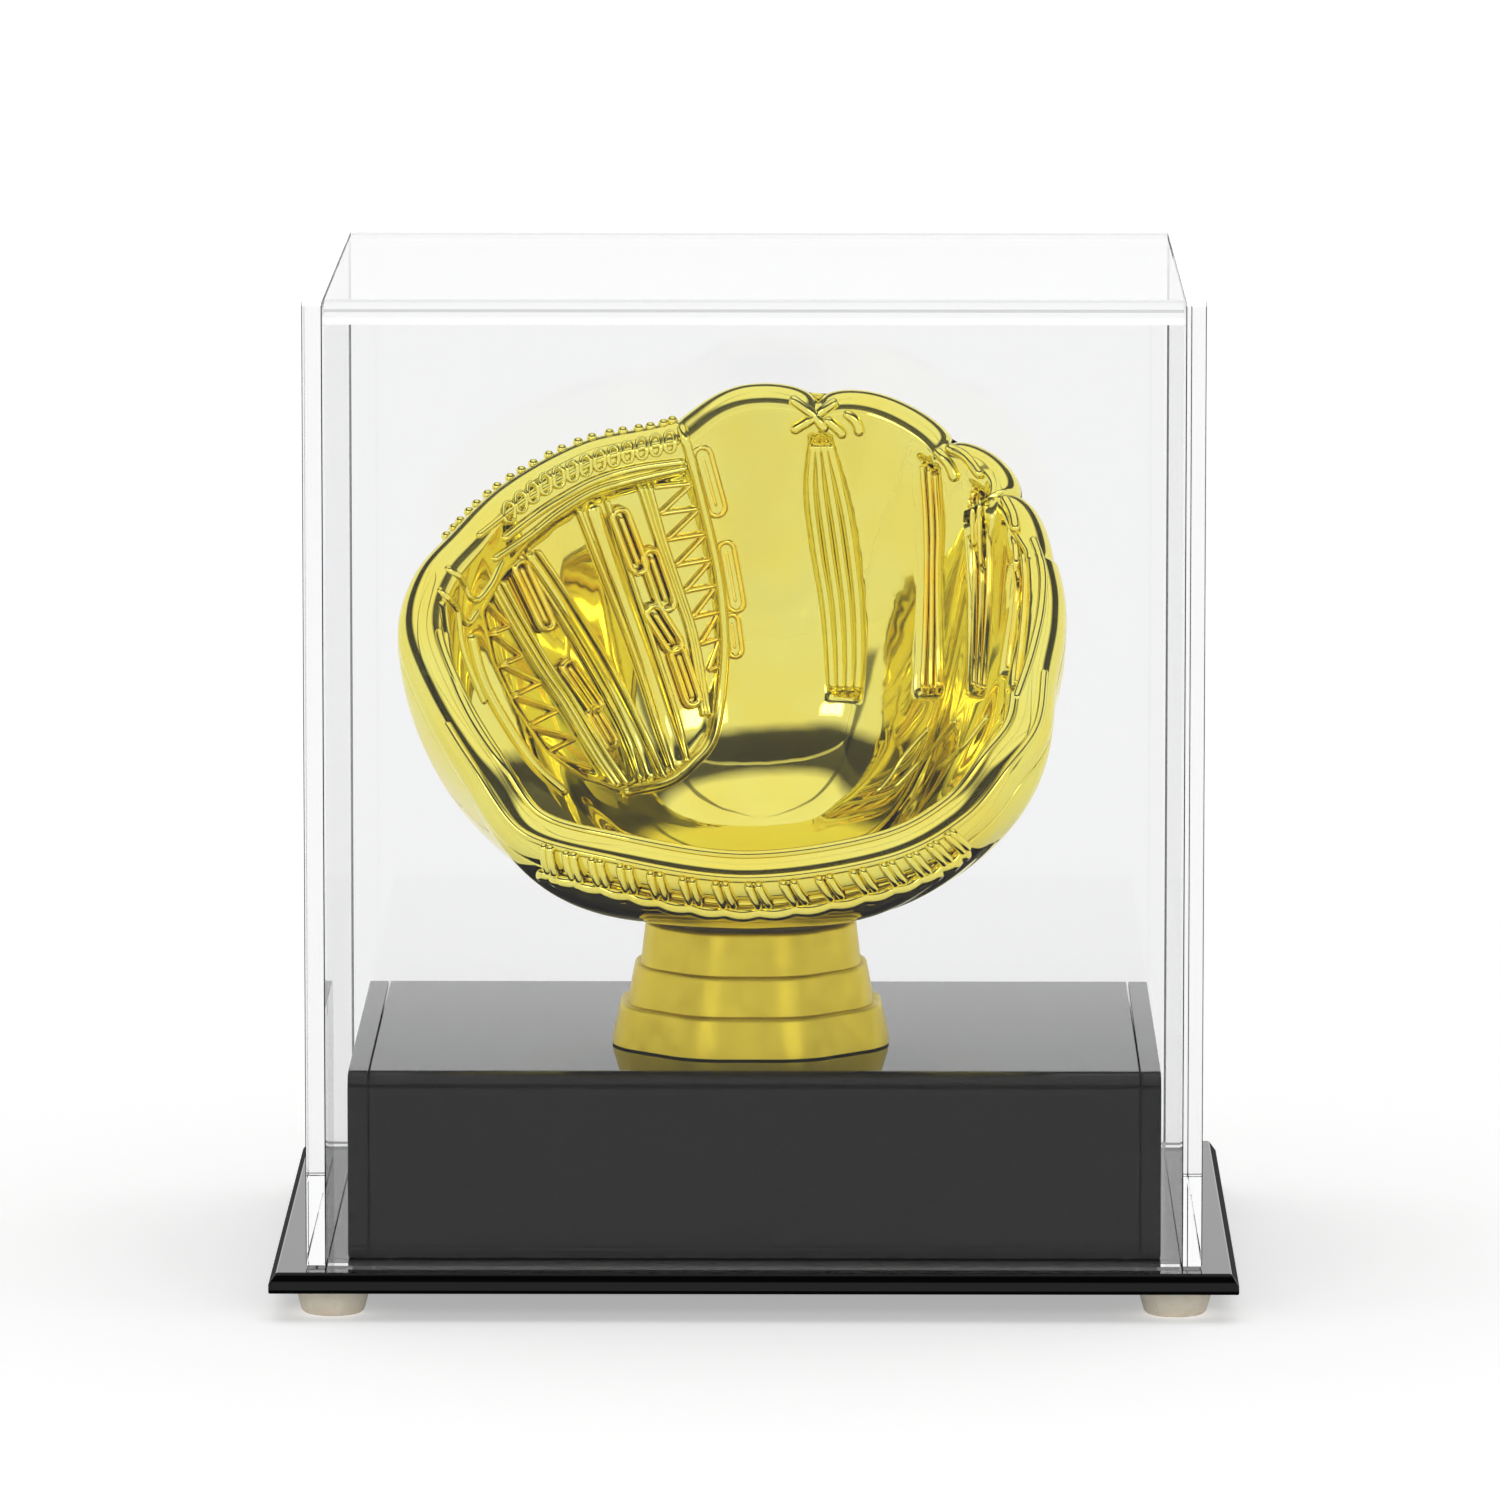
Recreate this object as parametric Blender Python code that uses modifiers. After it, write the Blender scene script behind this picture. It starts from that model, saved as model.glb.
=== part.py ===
"""A display case for one baseball: a small glove on a pedestal, a riser on a footed plate, and a clear cover.

Metres, +Z up, front towards -Y, origin on the table under the middle of the base plate.
"""

import math

import bmesh
import bpy
import numpy as np
from mathutils import Matrix, Vector

# Driving dimensions, each of which can be set by itself.
CONTACT_GAP = 0.0003
SHEET = 0.0032
BASE_WIDTH = 0.1524
BASE_DEPTH = 0.1270
BASE_THICKNESS = 0.0032
BASE_BEVEL_RUN = 0.0012
BASE_BEVEL_DROP = 0.0018
FOOT_TOP_RADIUS = 0.0061
FOOT_BOTTOM_RADIUS = 0.0050
FOOT_HEIGHT = 0.0043
FOOT_INSET = 0.0098
COVER_OVERHANG = 0.0057
COVER_HEIGHT = 0.1524
COVER_BEND_RADIUS = 0.0036
PANEL_CORNER_RADIUS = 0.0009
RISER_SIDE_GAP = 0.0031
RISER_FRONT_GAP = 0.0058
RISER_HEIGHT = 0.0293
RISER_BEND_RADIUS = 0.0036
EDGE_ROUND = 0.00025

STAND_X = -0.0008
STAND_Y = -0.0144
PEDESTAL_HEIGHT = 0.0194
PEDESTAL_WALL = 0.0022
PEDESTAL_FOOT_WALL = 0.0035
PEDESTAL_CORNER_RADIUS = 0.0050
PEDESTAL_RIM_WIDTH = 0.0022
PEDESTAL_RECESS = 0.0008
# Half-widths across flats at the foot and head of each tier, from the lowest tier up.
PEDESTAL_TIERS = ((0.0221, 0.0209), (0.0196, 0.0186), (0.0176, 0.0169))
# Share of the pedestal's height at which each tier ends.
PEDESTAL_TIER_ENDS = (0.33, 0.65, 1.0)

BOLT_RADIUS = 0.0020
BOLT_LENGTH = 0.0140
BOLT_HEAD_RADIUS = 0.0035
BOLT_HEAD_HEIGHT = 0.0030
BOLT_SOCKET_RADIUS = 0.0015
BOLT_SOCKET_DEPTH = 0.0018
NUT_ACROSS_FLATS = 0.0070
NUT_HEIGHT = 0.0032
WASHER_RADIUS = 0.0055
WASHER_THICKNESS = 0.0010
STEM_WALL = 0.0018

GLOVE_WALL = 0.0018
GLOVE_RIM_WIDTH = 0.0080
GLOVE_SEAT_RADIUS = 0.0130
POCKET_FLOOR_RISE = 0.0050
POCKET_CENTRE_FORWARD = 0.0020
# How level the pocket and the glove's back run into the bottom, as a share of the way in, and how far they
# swell behind the fingers, high up and low down, as shares of the drop from the rim.
POCKET_FLATNESS = ((0, 0.6), (8, 0.66), (13, 0.66), (16, 0.52), (20, 0.52), (22, 0.6))
POCKET_SWELL = 0.08
POCKET_LOW_SWELL = 0.15
BACK_FLATNESS = ((0, 0.5), (5, 0.5), (8, 0.58), (13, 0.58), (16, 0.36), (20, 0.36), (22, 0.5))
BACK_SWELL = 0.15
BACK_LOW_SWELL = 0.30
# The middle of the rolled rim, from the heel at the front, past the thumb, web, index, middle, ring and
# little finger and back to the heel: x and y from the stand's axis, and z up from the pedestal's top.
RIM_POINTS = (
    (0.0000, -0.0266, 0.0101),
    (-0.0200, -0.0251, 0.0126),
    (-0.0345, -0.0196, 0.0161),
    (-0.0425, -0.0146, 0.0261),
    (-0.0488, -0.0077, 0.0358),
    (-0.0524, -0.0003, 0.0447),
    (-0.0507, 0.0068, 0.0521),
    (-0.0457, 0.0142, 0.0574),
    (-0.0382, 0.0232, 0.0638),
    (-0.0262, 0.0311, 0.0695),
    (-0.0127, 0.0355, 0.0721),
    (-0.0002, 0.0370, 0.0780),
    (0.0186, 0.0368, 0.0769),
    (0.0358, 0.0295, 0.0690),
    (0.0424, 0.0204, 0.0615),
    (0.0460, 0.0088, 0.0521),
    (0.0463, 0.0008, 0.0457),
    (0.0448, -0.0072, 0.0389),
    (0.0436, -0.0149, 0.0316),
    (0.0398, -0.0191, 0.0266),
    (0.0333, -0.0224, 0.0191),
    (0.0213, -0.0251, 0.0131),
)
# How far the rim opens into the wall below it, along RIM_POINTS: 0 is a full roll, 1 a rounded tip.
LIP_OPENNESS = ((0, 0.0), (5, 0.0), (8.5, 1.0), (13.5, 1.0), (16, 0.0), (22, 0.0))
# Over this stretch of height, the rim turns from facing up at the heel to facing forwards at the fingers.
FRONT_FACING_FROM = 0.020
FRONT_FACING_OVER = 0.050
# How much the outer wall tucks in under the rim, along RIM_POINTS.
BACK_TUCK = (
    (0, 0.1), (1.3, 0.35), (2.6, 0.35), (4.5, 0.1), (6, 0.0),
    (17, 0.0), (19, 0.1), (20.2, 0.35), (21, 0.25), (22, 0.1),
)
GLOVE_SEGMENTS = 60
GLOVE_RINGS = 9
LIP_STEPS = 6
ROUND_SEGMENTS = 40
BEND_STEPS = 8

# Heights and extents that follow from the driving dimensions.
BASE_BOTTOM = FOOT_HEIGHT + CONTACT_GAP
BASE_TOP = BASE_BOTTOM + BASE_THICKNESS
REST_HEIGHT = BASE_TOP + CONTACT_GAP
COVER_WIDTH = BASE_WIDTH - 2 * COVER_OVERHANG
COVER_DEPTH = BASE_DEPTH - 2 * COVER_OVERHANG
RISER_WIDTH = COVER_WIDTH - 2 * (SHEET + RISER_SIDE_GAP)
RISER_DEPTH = COVER_DEPTH - 2 * (SHEET + RISER_FRONT_GAP)
RISER_TOP = REST_HEIGHT + RISER_HEIGHT
PEDESTAL_BOTTOM = RISER_TOP + CONTACT_GAP
PEDESTAL_TOP = PEDESTAL_BOTTOM + PEDESTAL_HEIGHT
SEAT_HEIGHT = PEDESTAL_TOP - PEDESTAL_RECESS + CONTACT_GAP
NUT_CORNER_RADIUS = NUT_ACROSS_FLATS / math.sqrt(3)
STEM_RADIUS = NUT_CORNER_RADIUS + 2 * CONTACT_GAP + STEM_WALL
BORE_RADIUS = STEM_RADIUS + CONTACT_GAP
BOLT_HOLE_RADIUS = BOLT_RADIUS + CONTACT_GAP
STEM_BOTTOM = PEDESTAL_BOTTOM + CONTACT_GAP
NUT_BOTTOM = STEM_BOTTOM + 2 * CONTACT_GAP
WASHER_TOP = RISER_TOP - SHEET - CONTACT_GAP
BOLT_SEAT = WASHER_TOP - WASHER_THICKNESS - CONTACT_GAP


def clear_scene():
    for old in list(bpy.data.objects):
        bpy.data.objects.remove(old, do_unlink=True)


def new_collection(name, hidden=False):
    collection = bpy.data.collections.new(name)
    collection.hide_render = hidden
    bpy.context.scene.collection.children.link(collection)
    return collection


def new_material(name, colour, roughness, metallic=0.0, transmission=0.0):
    material = bpy.data.materials.new(name)
    material.use_nodes = True
    shader = material.node_tree.nodes["Principled BSDF"]
    shader.inputs["Base Color"].default_value = (*colour, 1.0)
    shader.inputs["Roughness"].default_value = roughness
    shader.inputs["Metallic"].default_value = metallic
    shader.inputs["Transmission Weight"].default_value = transmission
    return material


def add_object(name, bm, material, collection, location=(0.0, 0.0, 0.0), smooth=False, closed=True):
    """Makes the mesh an object of the collection, with the faces of a closed body pointing out."""
    if closed:
        bmesh.ops.recalc_face_normals(bm, faces=bm.faces)
    mesh = bpy.data.meshes.new(name)
    bm.to_mesh(mesh)
    bm.free()
    if smooth:
        mesh.shade_smooth()
        mesh.set_sharp_from_angle(angle=math.radians(40))
    if material:
        mesh.materials.append(material)
    obj = bpy.data.objects.new(name, mesh)
    obj.location = location
    collection.objects.link(obj)
    return obj


def add_bevel(obj, width, segments=1):
    bevel = obj.modifiers.new("rounded edges", "BEVEL")
    bevel.width = width
    bevel.segments = segments
    bevel.limit_method = "ANGLE"
    bevel.angle_limit = math.radians(40)


def cut(obj, cutter):
    """Cuts the cutter's shape out of the object."""
    boolean = obj.modifiers.new("cut " + cutter.name, "BOOLEAN")
    boolean.operation = "DIFFERENCE"
    boolean.object = cutter
    cutter.hide_render = True
    cutter.display_type = "WIRE"


def prism(radius, height, segments, bottom_radius=None):
    """A closed cone or prism standing on z = 0."""
    bm = bmesh.new()
    lower = radius if bottom_radius is None else bottom_radius
    bmesh.ops.create_cone(bm, cap_ends=True, segments=segments, radius1=lower, radius2=radius, depth=height)
    bmesh.ops.translate(bm, verts=bm.verts, vec=(0.0, 0.0, height / 2))
    return bm


def slab(width, depth, height):
    """A closed box standing on z = 0, centred on the Z axis."""
    bm = bmesh.new()
    bmesh.ops.create_cube(bm, size=1.0)
    bmesh.ops.scale(bm, verts=bm.verts, vec=(width, depth, height))
    bmesh.ops.translate(bm, verts=bm.verts, vec=(0.0, 0.0, height / 2))
    return bm


def loft(rings, first_pole=None, last_pole=None):
    """Joins closed rings of equal length into a skin, which ends in two poles or joins back to the start."""
    bm = bmesh.new()
    rows = [[bm.verts.new(point) for point in ring] for ring in rings]
    count = len(rings[0])
    pairs = list(zip(rows, rows[1:]))
    if first_pole is None:
        pairs.append((rows[-1], rows[0]))
    for low, high in pairs:
        for step in range(count):
            after = (step + 1) % count
            bm.faces.new((low[step], low[after], high[after], high[step]))
    if first_pole is not None:
        for pole, row in ((first_pole, rows[0]), (last_pole, rows[-1])):
            tip = bm.verts.new(pole)
            for step in range(count):
                bm.faces.new((tip, row[step], row[(step + 1) % count]))
    return bm


def bent_outline(depth, height, radius):
    """Points of an upside-down U in (y, z), from the front foot up, over and down to the back foot."""
    points = [(-depth / 2, 0.0)]
    for side in (-1, 1):
        for step in range(BEND_STEPS + 1):
            share = step / BEND_STEPS
            angle = math.pi / 2 * (share if side < 0 else 1 - share)
            along = depth / 2 - radius + radius * math.cos(angle)
            points.append((side * along, height - radius + radius * math.sin(angle)))
    points.append((depth / 2, 0.0))
    return points


def bent_sheet(name, width, depth, height, radius, material, collection, location):
    """A sheet bent into a front, a top and a back: an open skin with Solidify, its thickness inside."""
    bm = bmesh.new()
    row = [bm.verts.new((-width / 2, y, z)) for y, z in bent_outline(depth, height, radius)]
    edges = [bm.edges.new(pair) for pair in zip(row, row[1:])]
    swept = bmesh.ops.extrude_edge_only(bm, edges=edges)["geom"]
    far_end = [item for item in swept if isinstance(item, bmesh.types.BMVert)]
    bmesh.ops.translate(bm, verts=far_end, vec=(width, 0.0, 0.0))
    bm.normal_update()
    inside_point = Vector((0.0, 0.0, height / 2))
    outward = sum(face.normal.dot(face.calc_center_median() - inside_point) for face in bm.faces)
    if outward < 0:
        bmesh.ops.reverse_faces(bm, faces=bm.faces)
    obj = add_object(name, bm, material, collection, location, smooth=True, closed=False)
    solidify = obj.modifiers.new("sheet", "SOLIDIFY")
    solidify.thickness = SHEET
    solidify.offset = -1.0
    solidify.use_even_offset = True
    return obj


def end_panel(name, depth, height, radius, material, collection, location):
    """A flat panel in the YZ plane with its two top corners rounded."""
    curve = bpy.data.curves.new(name, "CURVE")
    curve.dimensions = "2D"
    curve.fill_mode = "BOTH"
    curve.extrude = SHEET / 2
    outline = bent_outline(depth, height, radius)
    spline = curve.splines.new("POLY")
    spline.points.add(len(outline) - 1)
    for point, (y, z) in zip(spline.points, outline):
        point.co = (y, z, 0.0, 1.0)
    spline.use_cyclic_u = True
    upright = Matrix(((0, 0, 1, 0), (1, 0, 0, 0), (0, 1, 0, 0), (0, 0, 0, 1)))
    guide = bpy.data.objects.new(name + "_outline", curve)
    collection.objects.link(guide)
    guide.matrix_world = upright
    bpy.context.view_layer.update()
    evaluated = guide.evaluated_get(bpy.context.evaluated_depsgraph_get())
    bm = bmesh.new()
    bm.from_mesh(bpy.data.meshes.new_from_object(evaluated))
    bmesh.ops.transform(bm, matrix=upright, verts=bm.verts)
    bmesh.ops.remove_doubles(bm, verts=bm.verts, dist=1e-6)
    bpy.data.objects.remove(guide, do_unlink=True)
    return add_object(name, bm, material, collection, location)


def add_base(material, collection):
    """The plate: a slab whose top face is drawn up and in, which bevels its upper edge."""
    bm = slab(BASE_WIDTH, BASE_DEPTH, BASE_THICKNESS - BASE_BEVEL_DROP)
    top = [face for face in bm.faces if face.normal.z > 0.5]
    lifted = bmesh.ops.extrude_face_region(bm, geom=top)["geom"]
    corners = [item for item in lifted if isinstance(item, bmesh.types.BMVert)]
    bmesh.ops.delete(bm, geom=top, context="FACES_ONLY")
    bmesh.ops.translate(bm, verts=corners, vec=(0.0, 0.0, BASE_BEVEL_DROP))
    shrink = (1 - 2 * BASE_BEVEL_RUN / BASE_WIDTH, 1 - 2 * BASE_BEVEL_RUN / BASE_DEPTH, 1.0)
    bmesh.ops.scale(bm, verts=corners, vec=shrink)
    plate = add_object("base_plate", bm, material, collection, (0.0, 0.0, BASE_BOTTOM))
    add_bevel(plate, EDGE_ROUND)


def add_feet(material, collection):
    """Four round bumpers, tapered towards the table."""
    reach_x = BASE_WIDTH / 2 - FOOT_INSET
    reach_y = BASE_DEPTH / 2 - FOOT_INSET
    for end, y in (("front", -reach_y), ("back", reach_y)):
        for side, x in (("left", -reach_x), ("right", reach_x)):
            bm = prism(FOOT_TOP_RADIUS, FOOT_HEIGHT, ROUND_SEGMENTS, bottom_radius=FOOT_BOTTOM_RADIUS)
            foot = add_object(f"foot_{end}_{side}", bm, material, collection, (x, y, 0.0), smooth=True)
            add_bevel(foot, 3 * EDGE_ROUND, segments=2)


def add_box_sides(names, width, depth, height, radius, material, collection):
    """The two flat panels that close the ends of a bent sheet, standing on the base plate."""
    for name, side in zip(names, (-1, 1)):
        place = (side * (width - SHEET) / 2, 0.0, REST_HEIGHT)
        panel = end_panel(name, depth, height, radius, material, collection, place)
        add_bevel(panel, EDGE_ROUND)


def add_riser(material, collection, cutters):
    """The box under the pedestal: a bent sheet between two end panels, its top drilled for the bolt."""
    between = RISER_WIDTH - 2 * (SHEET + CONTACT_GAP)
    place = (0.0, 0.0, REST_HEIGHT)
    wrap = bent_sheet(
        "riser_wrap", between, RISER_DEPTH, RISER_HEIGHT, RISER_BEND_RADIUS, material, collection, place
    )
    drill = prism(BOLT_HOLE_RADIUS, 4 * SHEET, ROUND_SEGMENTS // 2)
    drill_place = (STAND_X, STAND_Y, RISER_TOP - 2 * SHEET)
    cut(wrap, add_object("riser_bolt_drill", drill, None, cutters, drill_place))
    names = ("riser_left_end", "riser_right_end")
    add_box_sides(names, RISER_WIDTH, RISER_DEPTH, RISER_HEIGHT, RISER_BEND_RADIUS, material, collection)


def add_cover(material, collection):
    """The clear cover: a bent sheet between two side panels, open at the bottom."""
    between = COVER_WIDTH - 2 * (SHEET + CONTACT_GAP)
    place = (0.0, 0.0, REST_HEIGHT)
    bent_sheet(
        "cover_wrap", between, COVER_DEPTH, COVER_HEIGHT, COVER_BEND_RADIUS, material, collection, place
    )
    names = ("cover_left_side", "cover_right_side")
    add_box_sides(names, COVER_WIDTH, COVER_DEPTH, COVER_HEIGHT, PANEL_CORNER_RADIUS, material, collection)


def octagon_ring(half_width, corner_radius, z):
    """A regular octagon with rounded corners, flat towards the front."""
    points = []
    corner_distance = (half_width - corner_radius) / math.cos(math.pi / 8)
    arc_steps = ROUND_SEGMENTS // 8
    for corner in range(8):
        middle = math.pi / 8 + corner * math.pi / 4
        for step in range(arc_steps):
            angle = middle + math.pi / 4 * ((step + 0.5) / arc_steps - 0.5)
            x = corner_distance * math.cos(middle) + corner_radius * math.cos(angle)
            y = corner_distance * math.sin(middle) + corner_radius * math.sin(angle)
            points.append(Vector((x, y, z)))
    return points


def pedestal_ring(half_width, z):
    """A ring of the pedestal: octagonal on the outside and in the hollow, round near the bore."""
    return octagon_ring(half_width, min(PEDESTAL_CORNER_RADIUS, half_width), z)


def round_ring(radius, z):
    return octagon_ring(radius, radius, z)


def add_pedestal(material, collection):
    """Three tapered tiers over a hollow, with a tube down the middle that the glove's stem drops into."""
    rings = []
    foot = 0.0
    for (low, high), end in zip(PEDESTAL_TIERS, PEDESTAL_TIER_ENDS):
        head = end * PEDESTAL_HEIGHT
        rings += [pedestal_ring(low, foot), pedestal_ring(high, head)]
        foot = head
    rim = PEDESTAL_TIERS[-1][1] - PEDESTAL_RIM_WIDTH
    floor = PEDESTAL_HEIGHT - PEDESTAL_RECESS
    ceiling = floor - PEDESTAL_WALL
    tube = BORE_RADIUS + PEDESTAL_WALL
    rings += [pedestal_ring(rim, PEDESTAL_HEIGHT), pedestal_ring(rim, floor)]
    rings += [round_ring(BORE_RADIUS, floor), round_ring(BORE_RADIUS, 0.0)]
    rings += [round_ring(tube, 0.0), round_ring(tube, ceiling)]
    rings += [pedestal_ring(PEDESTAL_TIERS[-1][1] - PEDESTAL_WALL, ceiling)]
    rings += [pedestal_ring(PEDESTAL_TIERS[0][0] - PEDESTAL_FOOT_WALL, 0.0)]
    place = (STAND_X, STAND_Y, PEDESTAL_BOTTOM)
    add_object("pedestal", loft(rings), material, collection, place, smooth=True)


def add_fasteners(material, collection, cutters):
    """A cap screw from inside the riser, its washer, and the nut held in the glove's stem."""
    axis = (STAND_X, STAND_Y)
    washer = prism(WASHER_RADIUS, WASHER_THICKNESS, ROUND_SEGMENTS)
    washer = add_object(
        "mounting_washer", washer, material, collection, (*axis, WASHER_TOP - WASHER_THICKNESS), smooth=True
    )
    nut = prism(NUT_CORNER_RADIUS, NUT_HEIGHT, 6)
    nut = add_object("mounting_nut", nut, material, collection, (*axis, NUT_BOTTOM))
    for obj in (washer, nut):
        drill = prism(BOLT_HOLE_RADIUS, 3 * NUT_HEIGHT, ROUND_SEGMENTS // 2)
        place = (*axis, obj.location.z - NUT_HEIGHT)
        cut(obj, add_object(obj.name + "_drill", drill, None, cutters, place))
    bolt = prism(BOLT_HEAD_RADIUS, BOLT_HEAD_HEIGHT, ROUND_SEGMENTS // 2)
    head = [face for face in bolt.faces if face.normal.z > 0.5]
    neck = bmesh.ops.inset_region(bolt, faces=head, thickness=BOLT_HEAD_RADIUS - BOLT_RADIUS)
    shank = bmesh.ops.extrude_face_region(bolt, geom=[face for face in head if face not in neck["faces"]])
    tips = [item for item in shank["geom"] if isinstance(item, bmesh.types.BMVert)]
    bmesh.ops.delete(bolt, geom=[face for face in head if face.is_valid], context="FACES_ONLY")
    bmesh.ops.translate(bolt, verts=tips, vec=(0.0, 0.0, BOLT_LENGTH))
    place = (*axis, BOLT_SEAT - BOLT_HEAD_HEIGHT)
    bolt = add_object("mounting_bolt", bolt, material, collection, place, smooth=True)
    socket = prism(BOLT_SOCKET_RADIUS, 2 * BOLT_SOCKET_DEPTH, 6)
    place = (*axis, bolt.location.z - BOLT_SOCKET_DEPTH)
    cut(bolt, add_object("bolt_socket_cutter", socket, None, cutters, place))


def rim_curve():
    """The rim's middle as a smooth closed curve through RIM_POINTS, and where along them each place lies."""
    knots = np.array(RIM_POINTS)
    count = len(knots)
    marks = np.arange(GLOVE_SEGMENTS) * count / GLOVE_SEGMENTS
    places = []
    for at in marks:
        index = int(at)
        share = at - index
        before, start, end, after = (knots[(index + shift) % count] for shift in (-1, 0, 1, 2))
        leave = (end - before) / 2
        arrive = (after - start) / 2
        square = share * share
        cube = square * share
        place = (2 * cube - 3 * square + 1) * start + (cube - 2 * square + share) * leave
        places.append(place + (3 * square - 2 * cube) * end + (cube - square) * arrive)
    return np.array(places), marks


def unit(vectors):
    return vectors / np.linalg.norm(vectors, axis=-1, keepdims=True)


def rim_frame(rim):
    """At each place on the rim, the way out from the pocket and the way that the rim faces."""
    along = unit(np.roll(rim, -1, axis=0) - np.roll(rim, 1, axis=0))
    lean = np.clip((rim[:, 2] - FRONT_FACING_FROM) / FRONT_FACING_OVER, 0.0, 1.0)
    middle = np.stack((0 * lean, rim[:, 1] * lean, 0 * lean + rim[:, 2].mean()), 1)
    spoke = rim - middle
    outward = unit(spoke - (spoke * along).sum(axis=1, keepdims=True) * along)
    facing = unit(np.cross(along, outward))
    return outward, facing


def swept_rows(start, leave, end, flatness, swell, low_swell):
    """Curves from each rim place down to its end place, setting off along leave and swelling at the back."""
    level = (start - end) * (1, 1, 0)
    reach = np.linalg.norm(level, axis=1, keepdims=True)
    outward = level / np.maximum(reach, 1e-9)
    drop = (start - end)[:, 2:3]
    behind = (outward[:, 1:2] + np.sqrt(outward[:, 1:2] ** 2 + 0.03)) / 2
    first = start + leave * (0.12 * reach + 0.36 * drop) + outward * swell * drop * behind
    second = end + outward * (reach * (flatness + (1 - flatness) * behind) + low_swell * drop * behind)
    rows = []
    for step in range(1, GLOVE_RINGS):
        share = step / GLOVE_RINGS
        rest = 1 - share
        upper = rest**3 * start + 3 * rest**2 * share * first
        rows.append(upper + 3 * rest * share**2 * second + share**3 * end)
    return rows


def offset_rows(rows, distance):
    """The rows moved along the skin's normal: a positive distance goes to the left of the way down."""
    grid = np.array(rows)
    around = np.roll(grid, -1, axis=1) - np.roll(grid, 1, axis=1)
    normal = unit(np.cross(np.gradient(grid, axis=0), around))
    return list(grid + distance * normal)


def level_ring(rim, radius, height):
    """Places on a level circle about the stand's axis, each below the rim place that it belongs to."""
    return unit(rim * (1, 1, 0)) * radius + np.array((0.0, 0.0, height))


def add_glove(material, collection, cutters):
    """Two moulded halves with a hollow between them, measured from the middle of the pedestal's top."""
    rim, marks = rim_curve()
    floor = np.array((0.0, POCKET_CENTRE_FORWARD, POCKET_FLOOR_RISE))
    outward, facing = rim_frame(rim)
    half = GLOVE_RIM_WIDTH / 2
    place = (STAND_X, STAND_Y, PEDESTAL_TOP)

    # Palm half: pocket floor, pocket wall, rolled rim, then back down inside the wall's thickness.
    inner = (math.pi / 2 * np.interp(marks, *zip(*LIP_OPENNESS)))[:, None]
    lip = []
    for step in range(LIP_STEPS + 1):
        angle = math.pi + (inner - math.pi) * step / LIP_STEPS
        lip.append(rim + half * (facing * np.sin(angle) - outward * np.cos(angle)))
    leave = unit(np.array((0.0, 0.0, -1.0)) - 0.5 * (facing * np.cos(inner) + outward * np.sin(inner)))
    bottom = np.broadcast_to(floor, rim.shape)
    flatness = np.interp(marks, *zip(*POCKET_FLATNESS))[:, None]
    pocket = swept_rows(lip[-1], leave, bottom, flatness, POCKET_SWELL, POCKET_LOW_SWELL)
    skin = lip + pocket
    hidden = offset_rows(skin, -GLOVE_WALL)
    hidden[0] = skin[0] - outward * GLOVE_WALL
    under = floor - (0.0, 0.0, GLOVE_WALL)
    palm = loft(skin[::-1] + hidden, floor, under)
    add_object("glove_palm_shell", palm, material, collection, place, smooth=True)

    # Back half: from just under the rolled rim down to the level seat, and the stem with its nut pocket.
    edge = rim + half * outward - CONTACT_GAP * facing
    seat_z = SEAT_HEIGHT - PEDESTAL_TOP
    shoulder_z = 2 * CONTACT_GAP
    seat = level_ring(rim, GLOVE_SEAT_RADIUS, shoulder_z)
    tuck = np.interp(marks, *zip(*BACK_TUCK))[:, None]
    flatness = np.interp(marks, *zip(*BACK_FLATNESS))[:, None]
    leave = unit(np.array((0.0, 0.0, -1.0)) * (1 - tuck) - level_ring(rim, 1.0, 0.0) * tuck)
    wall = [edge] + swept_rows(edge, leave, seat, flatness, BACK_SWELL, BACK_LOW_SWELL) + [seat]
    inside = offset_rows(wall, GLOVE_WALL)
    inside[0] = edge - outward * GLOVE_WALL
    inside[-1] = seat + (0.0, 0.0, GLOVE_WALL)
    stem_z = STEM_BOTTOM - PEDESTAL_TOP
    stem = [level_ring(rim, STEM_RADIUS, stem_z), level_ring(rim, STEM_RADIUS, seat_z)]
    stem.append(level_ring(rim, GLOVE_SEAT_RADIUS, seat_z))
    skin = stem + wall[::-1] + inside
    back = loft(skin, (0.0, 0.0, stem_z), (0.0, 0.0, shoulder_z + GLOVE_WALL))
    back = add_object("glove_back_shell", back, material, collection, place, smooth=True)
    nut_room = prism(NUT_CORNER_RADIUS + 2 * CONTACT_GAP, 2 * NUT_HEIGHT, 6)
    nut_room_z = NUT_BOTTOM + NUT_HEIGHT + CONTACT_GAP - 2 * NUT_HEIGHT
    cut(back, add_object("nut_pocket_cutter", nut_room, None, cutters, (STAND_X, STAND_Y, nut_room_z)))
    bore = prism(BOLT_HOLE_RADIUS, BOLT_LENGTH + 2 * CONTACT_GAP, ROUND_SEGMENTS // 2)
    cut(back, add_object("stem_bore_cutter", bore, None, cutters, (STAND_X, STAND_Y, BOLT_SEAT)))


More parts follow.
